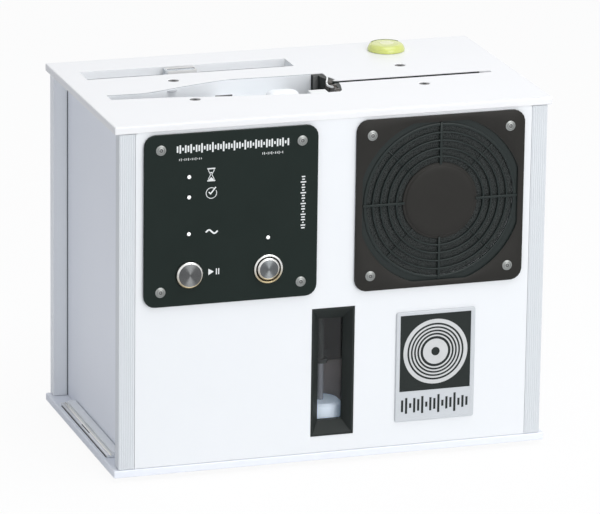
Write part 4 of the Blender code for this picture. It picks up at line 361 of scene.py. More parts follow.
# %% Foam with cells of a millimetre or two
def foam(name, strand, shaded_pit, cell=1.6):
    finish = Finish(name, strand, 0.85, Sheen_Weight=0.15, Sheen_Roughness=0.5)
    where = finish.place(scale=(1.0 / (cell * MM),) * 3)
    web = finish.node("TexVoronoi", {"feature": "DISTANCE_TO_EDGE"}, Vector=where, Scale=1.0)
    hollow = web.step(0.05, 0.28)
    # painted shade: the hollow of each cell is mixed towards the darker pit colour
    finish.give("Base Color", finish.mix(hollow, strand, shaded_pit))
    finish.give("Roughness", 0.78 + hollow * 0.15)
    return finish.relief(1.0 - hollow, 0.5, 0.8)


FOAM_BLACK = foam("foam_black", (0.021, 0.027, 0.0255), (0.010, 0.0135, 0.013))
FOAM_PALE = foam("foam_pale", (0.86, 0.89, 0.91), (0.64, 0.69, 0.72), 0.9)


# %% Clear and tinted acrylic
def clear(name, colour, roughness=0.05, transmission=1.0, ior=1.45, **sockets):
    finish = Finish(name, colour, roughness, IOR=ior, Transmission_Weight=transmission, **sockets)
    finish.give("Roughness", roughness + finish.noise(14) * 0.06)
    return finish


PANE_CLEAR = clear("clear_pane", (0.98, 0.99, 1.0), ior=1.29).material
lime = clear("level_body", (0.80, 0.86, 0.22), 0.22, 0.25, Coat_Weight=0.5)
lime.give("Base Color", lime.mix(lime.noise(5), (0.76, 0.83, 0.20), (0.84, 0.90, 0.30)))
LEVEL_LIME = lime.material

# %% Steel with turning rings and painted highlight fans about a centre
TURNING_PITCH = 0.30


def turned_steel(name, centre, colour):
    finish = Finish(name, colour, 0.24, 1.0, Anisotropic=0.4)
    x, _, z = finish.parts(centre)
    reach = (x * x + z * z).math("SQRT")
    ring = (reach * (math.tau / (TURNING_PITCH * MM))).math("SINE")
    speck = finish.noise(0.8, 3.0)
    # painted highlight: two bright fans above and below the centre, set by the direction from it, go into the
    # base colour
    fan = (z.math("ABSOLUTE") - x.math("ABSOLUTE") * 0.8) / (reach + 0.5 * MM)
    shade = fan.step(0.15, 0.95) + ring * 0.1 + speck * 0.15
    finish.give("Base Color", finish.mix(shade, [c * 0.42 for c in colour], colour))
    finish.give("Roughness", 0.24 + speck * 0.1)
    return finish.relief(ring, 0.02, 0.6)


# %% The buttons' rims carry a painted reflection: warm below the buttons' middle height, white above
BUTTON_Z = 153.1
RIM_REFLECTION_LOW, RIM_REFLECTION_HIGH = (0.40, 0.33, 0.20), (0.80, 0.80, 0.78)
rim = Finish("rim_steel_painted_reflection", RIM_REFLECTION_HIGH, 0.2, 1.0)
height = rim.parts((0.0, 0.0, BUTTON_Z))[2]
rim.give("Base Color", rim.mix(height.step(-9.0 * MM, 5.0 * MM), RIM_REFLECTION_LOW, RIM_REFLECTION_HIGH))
speck = rim.noise(0.7, 3.0)
rim.give("Roughness", 0.16 + speck * 0.1)
RIM_REFLECTION_STEEL = rim.relief(speck, 0.01, 0.3)

# %% The nozzle's cheek carries painted shade: lighter at its upper left corner, darker away from it
CHEEK_LEFT, CHEEK_RIM = 15.7, 257.0
cheek = Finish("cheek_painted_shade", (0.10, 0.105, 0.10), 0.45)
across = cheek.parts((CHEEK_LEFT, 0.0, 0.0))[0].step(0.0, 6.5 * MM)
rise = cheek.parts((0.0, 0.0, CHEEK_RIM))[2].math("ABSOLUTE").step(0.0, 9.0 * MM)
grain = cheek.noise(0.8, 3.0)
shade = across * 0.75 + rise * 0.35 + grain * 0.1
cheek.give("Base Color", cheek.mix(shade, (0.19, 0.19, 0.185), (0.022, 0.030, 0.028)))
cheek.give("Roughness", 0.40 + grain * 0.12)
CHEEK_PAINTED_SHADE = cheek.relief(grain, 0.02, 0.4)
print("finishes made:", len(bpy.data.materials))

# %% [markdown]
# ## Dressing the CAD pieces
#
# Most pieces keep the shape that the CAD model gives them and only need their finish. One table says
# which finish each node wears, and a loop puts it on.


# %% Finishes for the nodes
def nodes(start):
    """The CAD nodes whose names start so."""
    return [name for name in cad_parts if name.startswith(start)]


NODE_FINISH = {
    WHITE: ["top_plate", "rear_panel"],
    WHITE_SIDE_SHADE_TINT: ["side_panel_left", "side_panel_right", "bottom_plate"],
    WHITE_LEDGE_LIT: ["ledge_strip"],
    WHITE_FRONT: ["front_panel"],
    ALUMINIUM: nodes("corner_profile_front_"),
    ALUMINIUM_REAR_LIT: nodes("corner_profile_rear_"),
    CONTROL_BLACK: ["control_plate"],
    BEZEL_BLACK: ["window_bezel"],
    NOZZLE_BLACK: ["nozzle_front", "nozzle_rear"],
    FOAM_BLACK: ["fan_filter"],
    DARK_CORE_AND_SHADE: ["fan_frame", "fan_rotor", "power_socket", "pump"],
    MOULDING: ["wash_tub"],
    FLOAT_GLOWING_WHITE: ["float"],
    PALE_WELL: ["filter_well"],
    FOAM_PALE: ["filter_cartridge"],
    TANK_GREY: ["water_tank", "tank_lid"],
    GEAR_CREAM: ["barrel_pinion"],
    FLEECE: nodes("cleaning_barrel_"),
    RUBBER: ["record_drive_roller", "idler_roller", *nodes("foot_")],
    SHAFT_STEEL: ["barrel_motor", "record_motor", "transducer_bar"],
    BOARD_GREEN: ["control_board"],
    BADGE_SILVER: ["badge_plate"],
    PANE_CLEAR: ["window_pane"],
    LEVEL_LIME: ["level_vial"],
    SCREW_STEEL: nodes("screw_"),
    WHITE_INK: nodes("top_screw_"),
    RIM_REFLECTION_STEEL: ["power_button_body", "power_button_cap", "start_button_cap"],
    GUARD_BLACK: ["fan_guard"],
}
dressed = 0
for finish, names in NODE_FINISH.items():
    for name in names:
        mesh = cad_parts[name].data
        mesh.materials.clear()
        mesh.materials.append(finish)
        dressed += 1
print("nodes dressed:", dressed, "of", len(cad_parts))

# %% [markdown]
# ## Turning, extruding and repeating
#
# Every new shape is a row of loops of points, joined into quads. Screws, caps and lamps are turned
# parts: a profile of (radius, height) goes round an axis. Signs and plates are outlines with a
# thickness. Sizes are in millimetres, and `piece` puts the result on the body that it moves with.

# %% Helpers for meshes
SMOOTH_LIMIT = math.radians(38.0)


def skin(shape, loops, inks=None, closed=False, caps=False):
    """Joins loops of equally many points into faces, round to the first loop if closed."""
    for index in range(len(loops) if closed else len(loops) - 1):
        low, high = loops[index], loops[(index + 1) % len(loops)]
        for step in range(len(low)):
            after = (step + 1) % len(low)
            corners = list(dict.fromkeys((low[step], low[after], high[after], high[step])))
            if len(corners) > 2:
                shape.faces.new(corners).material_index = inks[index] if inks else 0
    if caps:
        shape.faces.new(loops[0][::-1])
        shape.faces.new(loops[-1])
    return shape


def points(shape, places):
    """A vertex at each place."""
    return [shape.verts.new(metres(place)) for place in places]


def turn(steps):
    """The angles of one turn in equal steps."""
    return [math.tau * step / steps for step in range(steps)]


def lathe(shape, centre, profile, sides=48, axis="front", inks=None, closed=False):
    """Turns (radius, height) round an axis through centre; a radius of zero closes an end."""
    cx, cy, cz = centre
    loops = []
    for radius, height in profile:
        ring = [(radius * math.cos(a), radius * math.sin(a)) for a in turn(sides if radius else 1)]
        if axis == "up":
            ring = points(shape, [(cx + u, cy + v, cz + height) for u, v in ring])
        else:
            ring = points(shape, [(cx + u, cy - height, cz + v) for u, v in ring])
        loops.append(ring if radius else ring * sides)
    return skin(shape, loops, inks, closed)


def prism(shape, outline, low_y, high_y):
    """Extrudes an outline of (x, z) points from low_y to high_y."""
    return skin(shape, [points(shape, [(x, y, z) for x, z in outline]) for y in (high_y, low_y)], caps=True)


def plan(shape, outline, low_z, high_z):
    """Raises an outline of (x, y) points from low_z to high_z."""
    return skin(shape, [points(shape, [(x, y, z) for x, y in outline]) for z in (low_z, high_z)], caps=True)


def arc(centre, radius, start, stop, steps):
    """Points on an arc, with angles in degrees."""
    way = [math.radians(start + (stop - start) * step / steps) for step in range(steps + 1)]
    return [(centre[0] + radius * math.cos(a), centre[1] + radius * math.sin(a)) for a in way]


def rounded(centre, width, height, radius, steps):
    """The outline of a rounded rectangle."""
    outline = []
    for index, (side, level) in enumerate(((1, 1), (-1, 1), (-1, -1), (1, -1))):
        corner = (centre[0] + side * (width / 2 - radius), centre[1] + level * (height / 2 - radius))
        outline += arc(corner, radius, index * 90, index * 90 + 90, steps)
    return outline


def sides_of(path, width):
    """The points half a width to the left and to the right of a path in a plane."""
    left, right = [], []
    for index, (x, y) in enumerate(path):
        before, after = path[max(index - 1, 0)], path[min(index + 1, len(path) - 1)]
        way = Vector((after[0] - before[0], after[1] - before[1])).normalized() * width / 2
        left.append((x - way.y, y + way.x))
        right.append((x + way.y, y - way.x))
    return left, right


def settled(name, shape):
    """The plain mesh of a shape under construction, with its faces outwards."""
    bmesh.ops.recalc_face_normals(shape, faces=shape.faces)
    mesh = bpy.data.meshes.new(name)
    shape.to_mesh(mesh)
    shape.free()
    return mesh


def put(name, data):
    """A new object in the scene."""
    made = bpy.data.objects.new(name, data)
    bpy.context.scene.collection.objects.link(made)
    return made


def piece(name, shape, finishes, body="case", replaced=()):
    """Makes an object of a shape under construction and puts it on its body."""
    mount(name, settled(name, shape), finishes, body, replaced)


def mount(name, mesh, finishes, body, replaced):
    for finish in finishes:
        mesh.materials.append(finish)
    mesh.shade_smooth()
    mesh.set_sharp_from_angle(angle=SMOOTH_LIMIT)
    made = put(name, mesh)
    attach(made, body)
    if replaced:
        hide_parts(*replaced)


def add_boxes(shape, boxes):
    """Adds boxes, each given by its low corner, its high corner and how far its edges are rounded."""
    for (x0, y0, z0), (x1, y1, z1), edge in boxes:
        box = plan(bmesh.new(), [(x0, y0), (x1, y0), (x1, y1), (x0, y1)], z0, z1)
        if edge:
            bmesh.ops.bevel(
                box, geom=box.edges[:], offset=edge * MM, segments=3, profile=0.5, affect="EDGES", material=-1
            )
        mesh = settled("box", box)
        shape.from_mesh(mesh)
        bpy.data.meshes.remove(mesh)
    return shape


def blocks(name, finish, slot, *boxes, body="case"):
    """A piece of boxes alone."""
    piece(name, add_boxes(bmesh.new(), boxes), [finish], body)


# %% [markdown]
# ## Geometry Nodes for what repeats
#
# `Growth` builds a node tree with named inputs. `grow` gives a mesh the tree as a modifier, sets the
# inputs by their sockets' identifiers, and turns the evaluated result into a plain mesh.


# %% A tree of geometry nodes
class Growth:
    """A Geometry Nodes tree under construction. Its lengths are in metres."""

    def __init__(self, name):
        self.tree = bpy.data.node_groups.new(name, "GeometryNodeTree")
        for way in ("INPUT", "OUTPUT"):
            self.tree.interface.new_socket("Geometry", in_out=way, socket_type="NodeSocketGeometry")
        self.way_in = self.tree.nodes.new("NodeGroupInput")
        self.way_out = self.tree.nodes.new("NodeGroupOutput")
        self.base = self.way_in.outputs[0]

    def inputs(self, *names, kind="Float"):
        for name in names:
            self.tree.interface.new_socket(name, in_out="INPUT", socket_type="NodeSocket" + kind)
        return [self.way_in.outputs[name] for name in names]

    def node(self, kind, settings=None, output=0, **values):
        prefix = "" if kind.startswith(("Shader", "Function")) else "GeometryNode"
        return add_node(self.tree, prefix + kind, settings, **values).outputs[output]

    def math(self, operation, *values):
        return add_math(self.tree, operation, *values)

    def finish(self, geometry):
        """Realizes the instances and sets the finish that the object names."""
        real = self.node("RealizeInstances", Geometry=geometry)
        [material] = self.inputs("Finish", kind="Material")
        painted = self.node("SetMaterial", Geometry=real, Material=material)
        self.tree.links.new(painted, self.way_out.inputs[0])


def grow(name, growth, base, finish, slot, body="case", replaced=(), **sizes):
    """The plain mesh that a tree makes of a base mesh, mounted as a piece."""
    holder = put(name + "_base", base)
    modifier = holder.modifiers.new("growth", "NODES")
    modifier.node_group = growth.tree
    wanted = {key.replace("_", " "): value for key, value in sizes.items()}
    wanted["Finish"] = finish
    for item in growth.tree.interface.items_tree:
        if item.in_out == "INPUT" and item.name in wanted:
            modifier[item.identifier] = wanted[item.name]
    bpy.context.view_layer.update()
    graph = bpy.context.evaluated_depsgraph_get()
    mesh = bpy.data.meshes.new_from_object(holder.evaluated_get(graph))
    mesh.name = name
    bpy.data.objects.remove(holder)
    mesh.materials.clear()
    mount(name, mesh, [finish], body, replaced)
    print(name, "has", len(mesh.polygons), "faces")


def points_mesh(name, places=()):
    mesh = bpy.data.meshes.new(name)
    mesh.from_pydata([metres(place) for place in places], [], [])
    return mesh


def template(name, shape):
    """An object that is only used as an instance, and isn't shown or kept."""
    return bpy.data.objects.new(name, settled(name, shape))


# %% One tree for what stands at given points
scatter = Growth("stand_at_points")
[pattern] = scatter.inputs("Pattern", kind="Object")
part = scatter.node("ObjectInfo", output=4, Object=pattern)
scatter.finish(scatter.node("InstanceOnPoints", Points=scatter.base, Instance=part))
NO_POINTS = points_mesh("no_points")


def stand(name, places, profile, finish, slot, sides=24, axis="front", closed=False, replaced=()):
    """A turned part at each of the places."""
    part = lathe(bmesh.new(), (0, 0, 0), profile, sides, axis, closed=closed)
    grow(
        name, scatter, points_mesh(name + "_places", places), finish, slot,
        replaced=replaced, Pattern=template(name + "_part", part),
    )

# %% [markdown]
# ## The fan guard
#
# The guard is one moulding: a plate with rounded corners, a shallow recess whose circle is cut flat
# near the plate's sides, a hub disc, and thin rings on four spokes. The plate and its recess are loops
# of points at the same angles, so a soft edge is only one more pair of loops.

# %% The guard's plate
GUARD_X, GUARD_Z = 78.9, 193.5
GUARD_SIDE = 127.7
GUARD_CORNER = 9.0
GUARD_FRONT, GUARD_BACK = -96.0, -93.8
RECESS_RADIUS, RECESS_HALF = 62.5, 59.0
HUB_RADIUS = 26.0
RING_PITCH, RING_WIDTH, SLOT_WIDTH = 5.95, 2.35, 3.6
RING_COUNT = 4
HOLE_RADIUS = HUB_RADIUS + RING_WIDTH + RING_COUNT * RING_PITCH + SLOT_WIDTH
LAST_RING = HOLE_RADIUS + RING_WIDTH


def square_reach(angle, inset):
    """How far the plate's outline, drawn in by an inset, reaches at an angle from its centre."""
    half, radius = GUARD_SIDE / 2 - inset, GUARD_CORNER - inset
    across, rise = abs(math.cos(angle)), abs(math.sin(angle))
    straight = half / max(across, rise)
    inner = half - radius
    if straight * min(across, rise) <= inner:
        return straight
    along = inner * (across + rise)
    return along + math.sqrt(max(along * along - 2 * inner * inner + radius * radius, 0.0))


def recess_reach(angle, inset):
    flat = (RECESS_HALF - inset) / max(abs(math.cos(angle)), abs(math.sin(angle)))
    return min(RECESS_RADIUS - inset, flat)


def ring_reach(angle, inset):
    return LAST_RING - inset


def hole_reach(angle, inset):
    return HOLE_RADIUS - inset


PLATE_LOOPS = [
    # (the outline that the loop follows, how far it is drawn in, its y)
    (square_reach, 0.0, GUARD_BACK), (square_reach, 0.0, GUARD_FRONT + 0.7),
    (square_reach, 0.2, GUARD_FRONT + 0.2), (square_reach, 0.7, GUARD_FRONT),
    (recess_reach, -0.5, GUARD_FRONT), (recess_reach, -0.1, GUARD_FRONT + 0.25),
    (recess_reach, 0.1, GUARD_FRONT + 1.75), (ring_reach, 0.0, GUARD_FRONT + 1.75),
    (ring_reach, 0.1, GUARD_FRONT + 1.1), (ring_reach, 0.5, GUARD_FRONT + 0.8),
    (hole_reach, -0.4, GUARD_FRONT + 0.8), (hole_reach, 0.0, GUARD_FRONT + 1.1),
    (hole_reach, 0.0, GUARD_BACK),
]
GUARD_STEPS = 192
RECESS_FACES = range(5, 12)  # from which loop to which the plate is as dark as its rings
shape = bmesh.new()
loops = []
for reach, inset, y in PLATE_LOOPS:
    reached = [(reach(a, inset), a) for a in turn(GUARD_STEPS)]
    outline = [(GUARD_X + r * math.cos(a), y, GUARD_Z + r * math.sin(a)) for r, a in reached]
    loops.append(points(shape, outline))
skin(shape, loops, [int(index in RECESS_FACES) for index in range(len(loops))], closed=True)
piece("guard_plate", shape, [GUARD_BLACK, RING_BLACK], replaced=["fan_guard"])

# %% The hub is a shallow dome with a rim
HUB_PROFILE = [
    (0.0, 0.0), (28.35, 0.0), (28.35, 1.0), (28.0, 1.35), (26.9, 1.4), (26.5, 1.5), (26.1, 1.95),
    (25.4, 2.15), (22.0, 2.18), (12.0, 2.2), (0.0, 2.2),
]
shape = lathe(bmesh.new(), (GUARD_X, GUARD_BACK, GUARD_Z), HUB_PROFILE, 96)
piece("guard_hub", shape, [GUARD_BLACK])

# %% [markdown]
# The rings differ only in radius. A line of points is laid out, a unit circle stands at each one and
# is scaled to its ring's radius, and a small rounded section is swept round every circle.

# %% Rings grown from a row of points
RING_Y = (GUARD_FRONT + 0.75 + GUARD_BACK) / 2
RING_THICKNESS, RING_FILLET = 1.35, 0.55
rings = Growth("guard_rings")
[count] = rings.inputs("Count", kind="Int")
first, pitch, wide, thick = rings.inputs("First Radius", "Pitch", "Ring Width", "Ring Thickness")
row = rings.node("MeshLine", Count=count, Offset=(0.0, 0.0, 0.0))
reach = rings.math("MULTIPLY_ADD", rings.node("InputIndex"), pitch, first)
circle = rings.node("CurvePrimitiveCircle", Resolution=120, Radius=1.0)
standing = rings.node("InstanceOnPoints", Points=row, Instance=circle, Scale=reach)
curves = rings.node("RealizeInstances", Geometry=standing)
section = rings.node("CurvePrimitiveQuadrilateral", Width=thick, Height=wide)
soft = rings.node("FilletCurve", {"mode": "POLY"}, Curve=section, Count=3, Radius=RING_FILLET * MM)
swept = rings.node("CurveToMesh", Curve=curves, _1=soft, _3=False)
stood = rings.node("Transform", Geometry=swept, Rotation=(math.radians(90.0), 0.0, 0.0))
there = metres((GUARD_X, RING_Y, GUARD_Z))
rings.finish(rings.node("Transform", Geometry=stood, Translation=there))
grow(
    "guard_rings", rings, NO_POINTS, RING_BLACK, "black_plastic",
    First_Radius=(HUB_RADIUS + RING_WIDTH + SLOT_WIDTH + RING_WIDTH / 2) * MM, Pitch=RING_PITCH * MM,
    Count=RING_COUNT, Ring_Width=RING_WIDTH * MM, Ring_Thickness=RING_THICKNESS * MM,
)

# %% Spokes in front and struts behind
ARMS = [
    # (first angle, start from the hub's radius, end, y, depth, width)
    (0.0, 1.0, LAST_RING + 0.6, GUARD_BACK - 0.97, 1.9, 1.8),
    (45.0, 1.5, HOLE_RADIUS + 0.4, GUARD_BACK - 0.37, 0.7, 1.1),
]
shape = bmesh.new()
for first_angle, start, end, y, depth, width in ARMS:
    length = end - HUB_RADIUS - start
    stretch = Matrix.Diagonal((length * MM, depth * MM, width * MM, 1.0))
    shift = Matrix.Translation(Vector((HUB_RADIUS + start + length / 2, y, 0)) * MM)
    for quarter in range(4):
        way = Matrix.Rotation(math.radians(first_angle + 90.0 * quarter), 4, "Y")
        there = Matrix.Translation(Vector((GUARD_X, 0, GUARD_Z)) * MM)
        bmesh.ops.create_cube(shape, size=1.0, matrix=there @ way @ shift @ stretch)
bmesh.ops.bevel(shape, geom=shape.edges[:], offset=0.25 * MM, segments=2, profile=0.5, affect="EDGES")
piece("guard_spokes", shape, [RING_BLACK])

# %% [markdown]
# ## Screws, lamps and buttons
#
# The front screws are low domes with a pin in their socket, and a darker ring in each socket is painted
# shade. The lamps are small white domes in dark collars. Both buttons are turned steel: the start cap is
# one disc with a bright chamfer, and the power cap stands in a ring. The chamfers and the ring's rim are
# bright with a painted reflection, and the caps' faces carry painted highlight fans.

# %% Front screws, turned once and grown at eight points
FACE_Y = -96.0
SCREW_INSET = 52.35
SCREW_PROFILE = [
    (0.0, -1.0), (1.8, -1.0), (1.8, 0.0), (3.75, 0.0), (3.75, 0.25), (3.55, 0.5), (2.95, 0.78),
    (2.72, 0.8), (2.62, 0.3), (2.5, 0.32), (2.42, 0.7), (2.15, 0.95), (1.75, 1.05), (1.42, 1.05),
    (1.32, 0.3), (0.55, 0.28), (0.5, 0.75), (0.0, 0.8),
]
WELL_PROFILE = [(0.52, 0.26), (1.34, 0.26), (1.34, 0.42), (0.52, 0.42)]
screw_places = [
    (x + side * SCREW_INSET, FACE_Y, z + rise * SCREW_INSET)
    for x, z in ((-78.4, 193.7), (GUARD_X, GUARD_Z))
    for side in (-1, 1)
    for rise in (-1, 1)
]
stand("front_screws", screw_places, SCREW_PROFILE, SCREW_STEEL, "steel", replaced=nodes("screw_"))
# painted shade: a dark ring sits in the socket of each front screw
stand("screw_wells", screw_places, WELL_PROFILE, CLIP_STEEL_AND_SOCKET_SHADE, "steel", 12, closed=True)

# %% Countersunk screws in the top plate
TOP_FACE = 264.6
TOP_PROFILE = [
    (0.0, -16.0), (1.8, -16.0), (1.8, -2.6), (3.9, -0.55), (3.9, -0.38), (3.6, -0.30), (2.1, -0.28),
    (1.5, -0.30), (1.3, -1.5), (0.0, -1.6),
]
CUP_PROFILE = [
    (0.0, -1.58), (1.36, -1.45), (1.44, -0.34), (2.0, -0.27), (1.9, -0.25), (1.36, -0.31),
    (1.2, -1.40), (0.0, -1.45),
]
top_places = [(x, y, TOP_FACE) for x in (-87.0, 87.0) for y in (-33.2, 21.9)]
stand("top_screws", top_places, TOP_PROFILE, HEAD_STEEL, "steel", 28, "up", replaced=nodes("top_screw_"))
# painted shade: a dark cup lines the socket of each top screw
stand("top_screw_sockets", top_places, CUP_PROFILE, CLIP_STEEL_AND_SOCKET_SHADE, "steel", 18, "up")

# %% Lamps
LAMPS = [(-110.0, 225.3), (-110.0, 210.4), (-110.0, 183.3), (-51.0, 176.4)]
DOME_PROFILE = [(0.0, -0.6), (1.4, -0.6), (1.4, 0.48), (1.28, 0.62), (0.96, 0.74), (0.5, 0.81), (0.0, 0.83)]
COLLAR_PROFILE = [(1.3, -0.6), (1.75, -0.6), (1.75, 0.32), (1.62, 0.46), (1.3, 0.46)]
lamp_places = [(x, FACE_Y, z) for x, z in LAMPS]
stand("lamp_domes", lamp_places, DOME_PROFILE, LAMP, "white_moulding")
stand("lamp_collars", lamp_places, COLLAR_PROFILE, CONTROL_BLACK, "black_plate", closed=True)


# %% The caps
def node_box(node):
    """The low and high corners of a CAD node."""
    return [[value / MM for value in corner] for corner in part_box(node)]


BUTTON_FRONT = -99.0
START = (-109.4, BUTTON_FRONT, BUTTON_Z)
POWER = (-50.7, BUTTON_FRONT, BUTTON_Z)
CAP_GAP = 3.0  # how much shorter a cap is than its node, behind


def cap(button, centre, radius, colour):
    """A turned cap: a dished face with painted highlight fans, a ring line, a chamfer bright with painted
    reflection, and a side.
    """
    node = f"{button}_button_cap"
    depth = node_box(node)[1][1] - BUTTON_FRONT - CAP_GAP
    profile = [
        (0.0, -depth), (radius - 0.05, -depth), (radius - 0.05, -1.05), (radius - 0.2, -0.85),
        (radius - 1.0, -0.05), (radius - 1.15, 0.0), (radius - 1.35, -0.12), (radius - 1.6, -0.1),
        (radius * 0.5, -0.16), (0.0, -0.18),
    ]
    shape = lathe(bmesh.new(), centre, profile, 72, inks=[1] * 6 + [0] * 3)
    face = turned_steel(f"{button}_face", centre, colour)
    piece(f"{button}_cap", shape, [face, RIM_REFLECTION_STEEL], f"{button}_button", [node])


cap("start", START, 9.8, (0.215, 0.22, 0.22))
cap("power", POWER, 8.25, (0.265, 0.28, 0.285))

# %% The power button's ring and body
low, high = node_box("power_button_body")
depth = high[1] - low[1]
WELL_DEPTH = 9.4
well_end = min(depth - 1.0, 16.4)
RING_PROFILE = [
    (0.0, -depth), (9.6, -depth), (9.6, -2.1), (10.85, -2.1), (10.85, -0.75), (10.7, -0.4),
    (10.3, -0.1), (9.8, 0.0), (9.45, -0.15), (9.2, -0.5), (9.1, -0.9), (9.0, -WELL_DEPTH),
    (3.2, -WELL_DEPTH), (3.2, -well_end), (0.0, -well_end),
]
# painted shade: the faces from the ring's inner lip down into the well wear the dark steel
inks = [int(index >= 9) for index in range(len(RING_PROFILE) - 1)]
shape = lathe(bmesh.new(), (POWER[0], low[1], BUTTON_Z), RING_PROFILE, 72, inks=inks)
piece("power_ring", shape, [RIM_REFLECTION_STEEL, CLIP_STEEL_AND_SOCKET_SHADE], replaced=["power_button_body"])

# %% [markdown]
# ## Signs on the control plate
#
# Signs are screen printed: an ink layer a few hundredths of a millimetre thick. The machine has plain
# signs only: an hourglass for "wait", a tick for "ready", a wave for "power", a triangle for "start",
# and a row of level bars along the top. Each is an outline with the thickness of the ink.

# %% Printed signs
INK_FRONT, INK_BACK = FACE_Y - 0.06, FACE_Y + 0.05


def ink(outline):
    prism(signs, outline, INK_FRONT, INK_BACK)


def stroke(path, width):
    """A line of ink with round ends along (x, z) points, as one outline."""
    left, right = sides_of(path, width)
    (x0, z0), (x1, z1), (x2, z2), (x3, z3) = *path[:2], *path[-2:]
    start = math.degrees(math.atan2(z1 - z0, x1 - x0))
    stop = math.degrees(math.atan2(z3 - z2, x3 - x2))
    end_cap = arc(path[-1], width / 2, stop + 90, stop - 90, 8)[1:-1]
    start_cap = arc(path[0], width / 2, start - 90, start - 270, 8)[1:-1]
    ink(left + end_cap + right[::-1] + start_cap)


signs = bmesh.new()
FINE, BOLD = 0.5, 0.9
GLASS_X, GLASS_LOW, GLASS_HIGH, GLASS_HALF = -93.6, 221.4, 230.3, 2.6
middle = (GLASS_LOW + GLASS_HIGH) / 2
for z in (GLASS_LOW, GLASS_HIGH):
    stroke([(GLASS_X - GLASS_HALF, z), (GLASS_X + GLASS_HALF, z)], BOLD)
GLASS_WALL = [
    (2.0, GLASS_LOW + 0.3), (2.0, GLASS_LOW + 1.6), (0.45, middle),
    (2.0, GLASS_HIGH - 1.6), (2.0, GLASS_HIGH - 0.3),
]
for side in (-1, 1):
    stroke([(GLASS_X + side * x, z) for x, z in GLASS_WALL], FINE)
LOW_SAND = [(-1.7, 0.4), (1.7, 0.4), (1.5, 1.3), (0.0, 2.6), (-1.5, 1.3)]
HIGH_SAND = [(-1.0, 1.9), (0.0, 0.7), (1.0, 1.9)]
ink([(GLASS_X + x, GLASS_LOW + z) for x, z in LOW_SAND])
ink([(GLASS_X + x, middle + z) for x, z in HIGH_SAND])
TICK = [(-95.7, 212.7), (-93.9, 211.1), (-89.7, 216.3), (-90.4, 216.8), (-94.0, 212.5), (-95.2, 213.4)]
stroke(arc((-93.4, 212.3), 3.9, 60, 385, 32), FINE)  # an open circle round the tick
ink(TICK)
WAVE_X, WAVE_Z, WAVE_LONG, WAVE_TALL, WAVE_STEPS, WAVE_WIDTH = -97.0, 183.8, 8.1, 1.35, 24, 1.15
wave = [
    (WAVE_X + WAVE_LONG * t / WAVE_STEPS, WAVE_Z + WAVE_TALL * math.sin(math.tau * t / WAVE_STEPS))
    for t in range(WAVE_STEPS + 1)
]
stroke(wave, WAVE_WIDTH)
TRIANGLE = [(-95.2, 151.6), (-95.2, 156.4), (-91.2, 154.0)]
STAVES, STAVE_LOW, STAVE_HIGH, STAVE_WIDTH = (-89.2, -87.5), 152.1, 155.9, 0.8
ink(TRIANGLE)
for x in STAVES:
    stroke([(x, STAVE_LOW), (x, STAVE_HIGH)], STAVE_WIDTH)
piece("printed_signs", signs, [WHITE_INK])

# %% [markdown]
# The bars along the top follow one rule, so a tree makes them: a row of points, a bar at each, and a
# height that comes from two sines of the bar's number.

# %% Level bars grown from a row of points
SLOW, FAST = 0.83, 2.31  # how far each sine goes on from bar to bar, in radians
BAR_DEPTH = 0.11
bars = Growth("level_bars")
[count] = bars.inputs("Count", kind="Int")
pitch, base_height, swing, bar_width = bars.inputs("Pitch", "Base Height", "Swing", "Bar Width")
where, turned = bars.inputs("Where", "Turn", kind="Vector")
row = bars.node("MeshLine", Count=count, Offset=bars.node("ShaderNodeCombineXYZ", X=pitch))
index = bars.node("InputIndex")
slow = bars.math("SINE", bars.math("MULTIPLY", index, SLOW))
fast = bars.math("SINE", bars.math("MULTIPLY", index, FAST))
height = bars.math("MULTIPLY_ADD", bars.math("MULTIPLY", slow, fast), swing, base_height)
size = bars.node("ShaderNodeCombineXYZ", X=bar_width, Y=BAR_DEPTH * MM, Z=height)
bar = bars.node("MeshCube", Size=(1.0, 1.0, 1.0))
standing = bars.node("InstanceOnPoints", Points=row, Instance=bar, Scale=size)
bars.finish(bars.node("Transform", Geometry=standing, Translation=where, Rotation=turned))


def bar_row(name, finish, slot, count, sizes, place, turned=0.0):
    """A row of bars: their pitch, middle height, swing of the height and width, and its first place."""
    pitch, middle_height, swing, width = metres(sizes)
    grow(
        name, bars, NO_POINTS, finish, slot, Count=count, Pitch=pitch, Base_Height=middle_height,
        Swing=swing, Bar_Width=width, Where=metres(place),
        Turn=(0.0, math.radians(turned), 0.0),
    )


WHITE_BARS = {
    "title_bars": (42, (2.0, 4.6, 2.6, 1.15), (-118.6, FACE_Y, 246.0)),
    "side_bars": (20, (2.0, 2.6, 1.5, 0.9), (-24.9, FACE_Y, 181.4), -90.0),
    "under_bars": (12, (1.35, 1.5, 0.9, 0.45), (-55.6, FACE_Y, 238.6)),
    "note_bars": (13, (1.35, 1.4, 0.8, 0.4), (-117.2, FACE_Y, 238.3)),
}
for name, row_sizes in WHITE_BARS.items():
    bar_row(name, WHITE_INK, "white_moulding", *row_sizes)

# %% [markdown]
# ## The silver plate
#
# On the real machine this plate carries lettering. Here it carries a plain picture of a record: a
# dark field with silver rings, and bars along the light band under it.

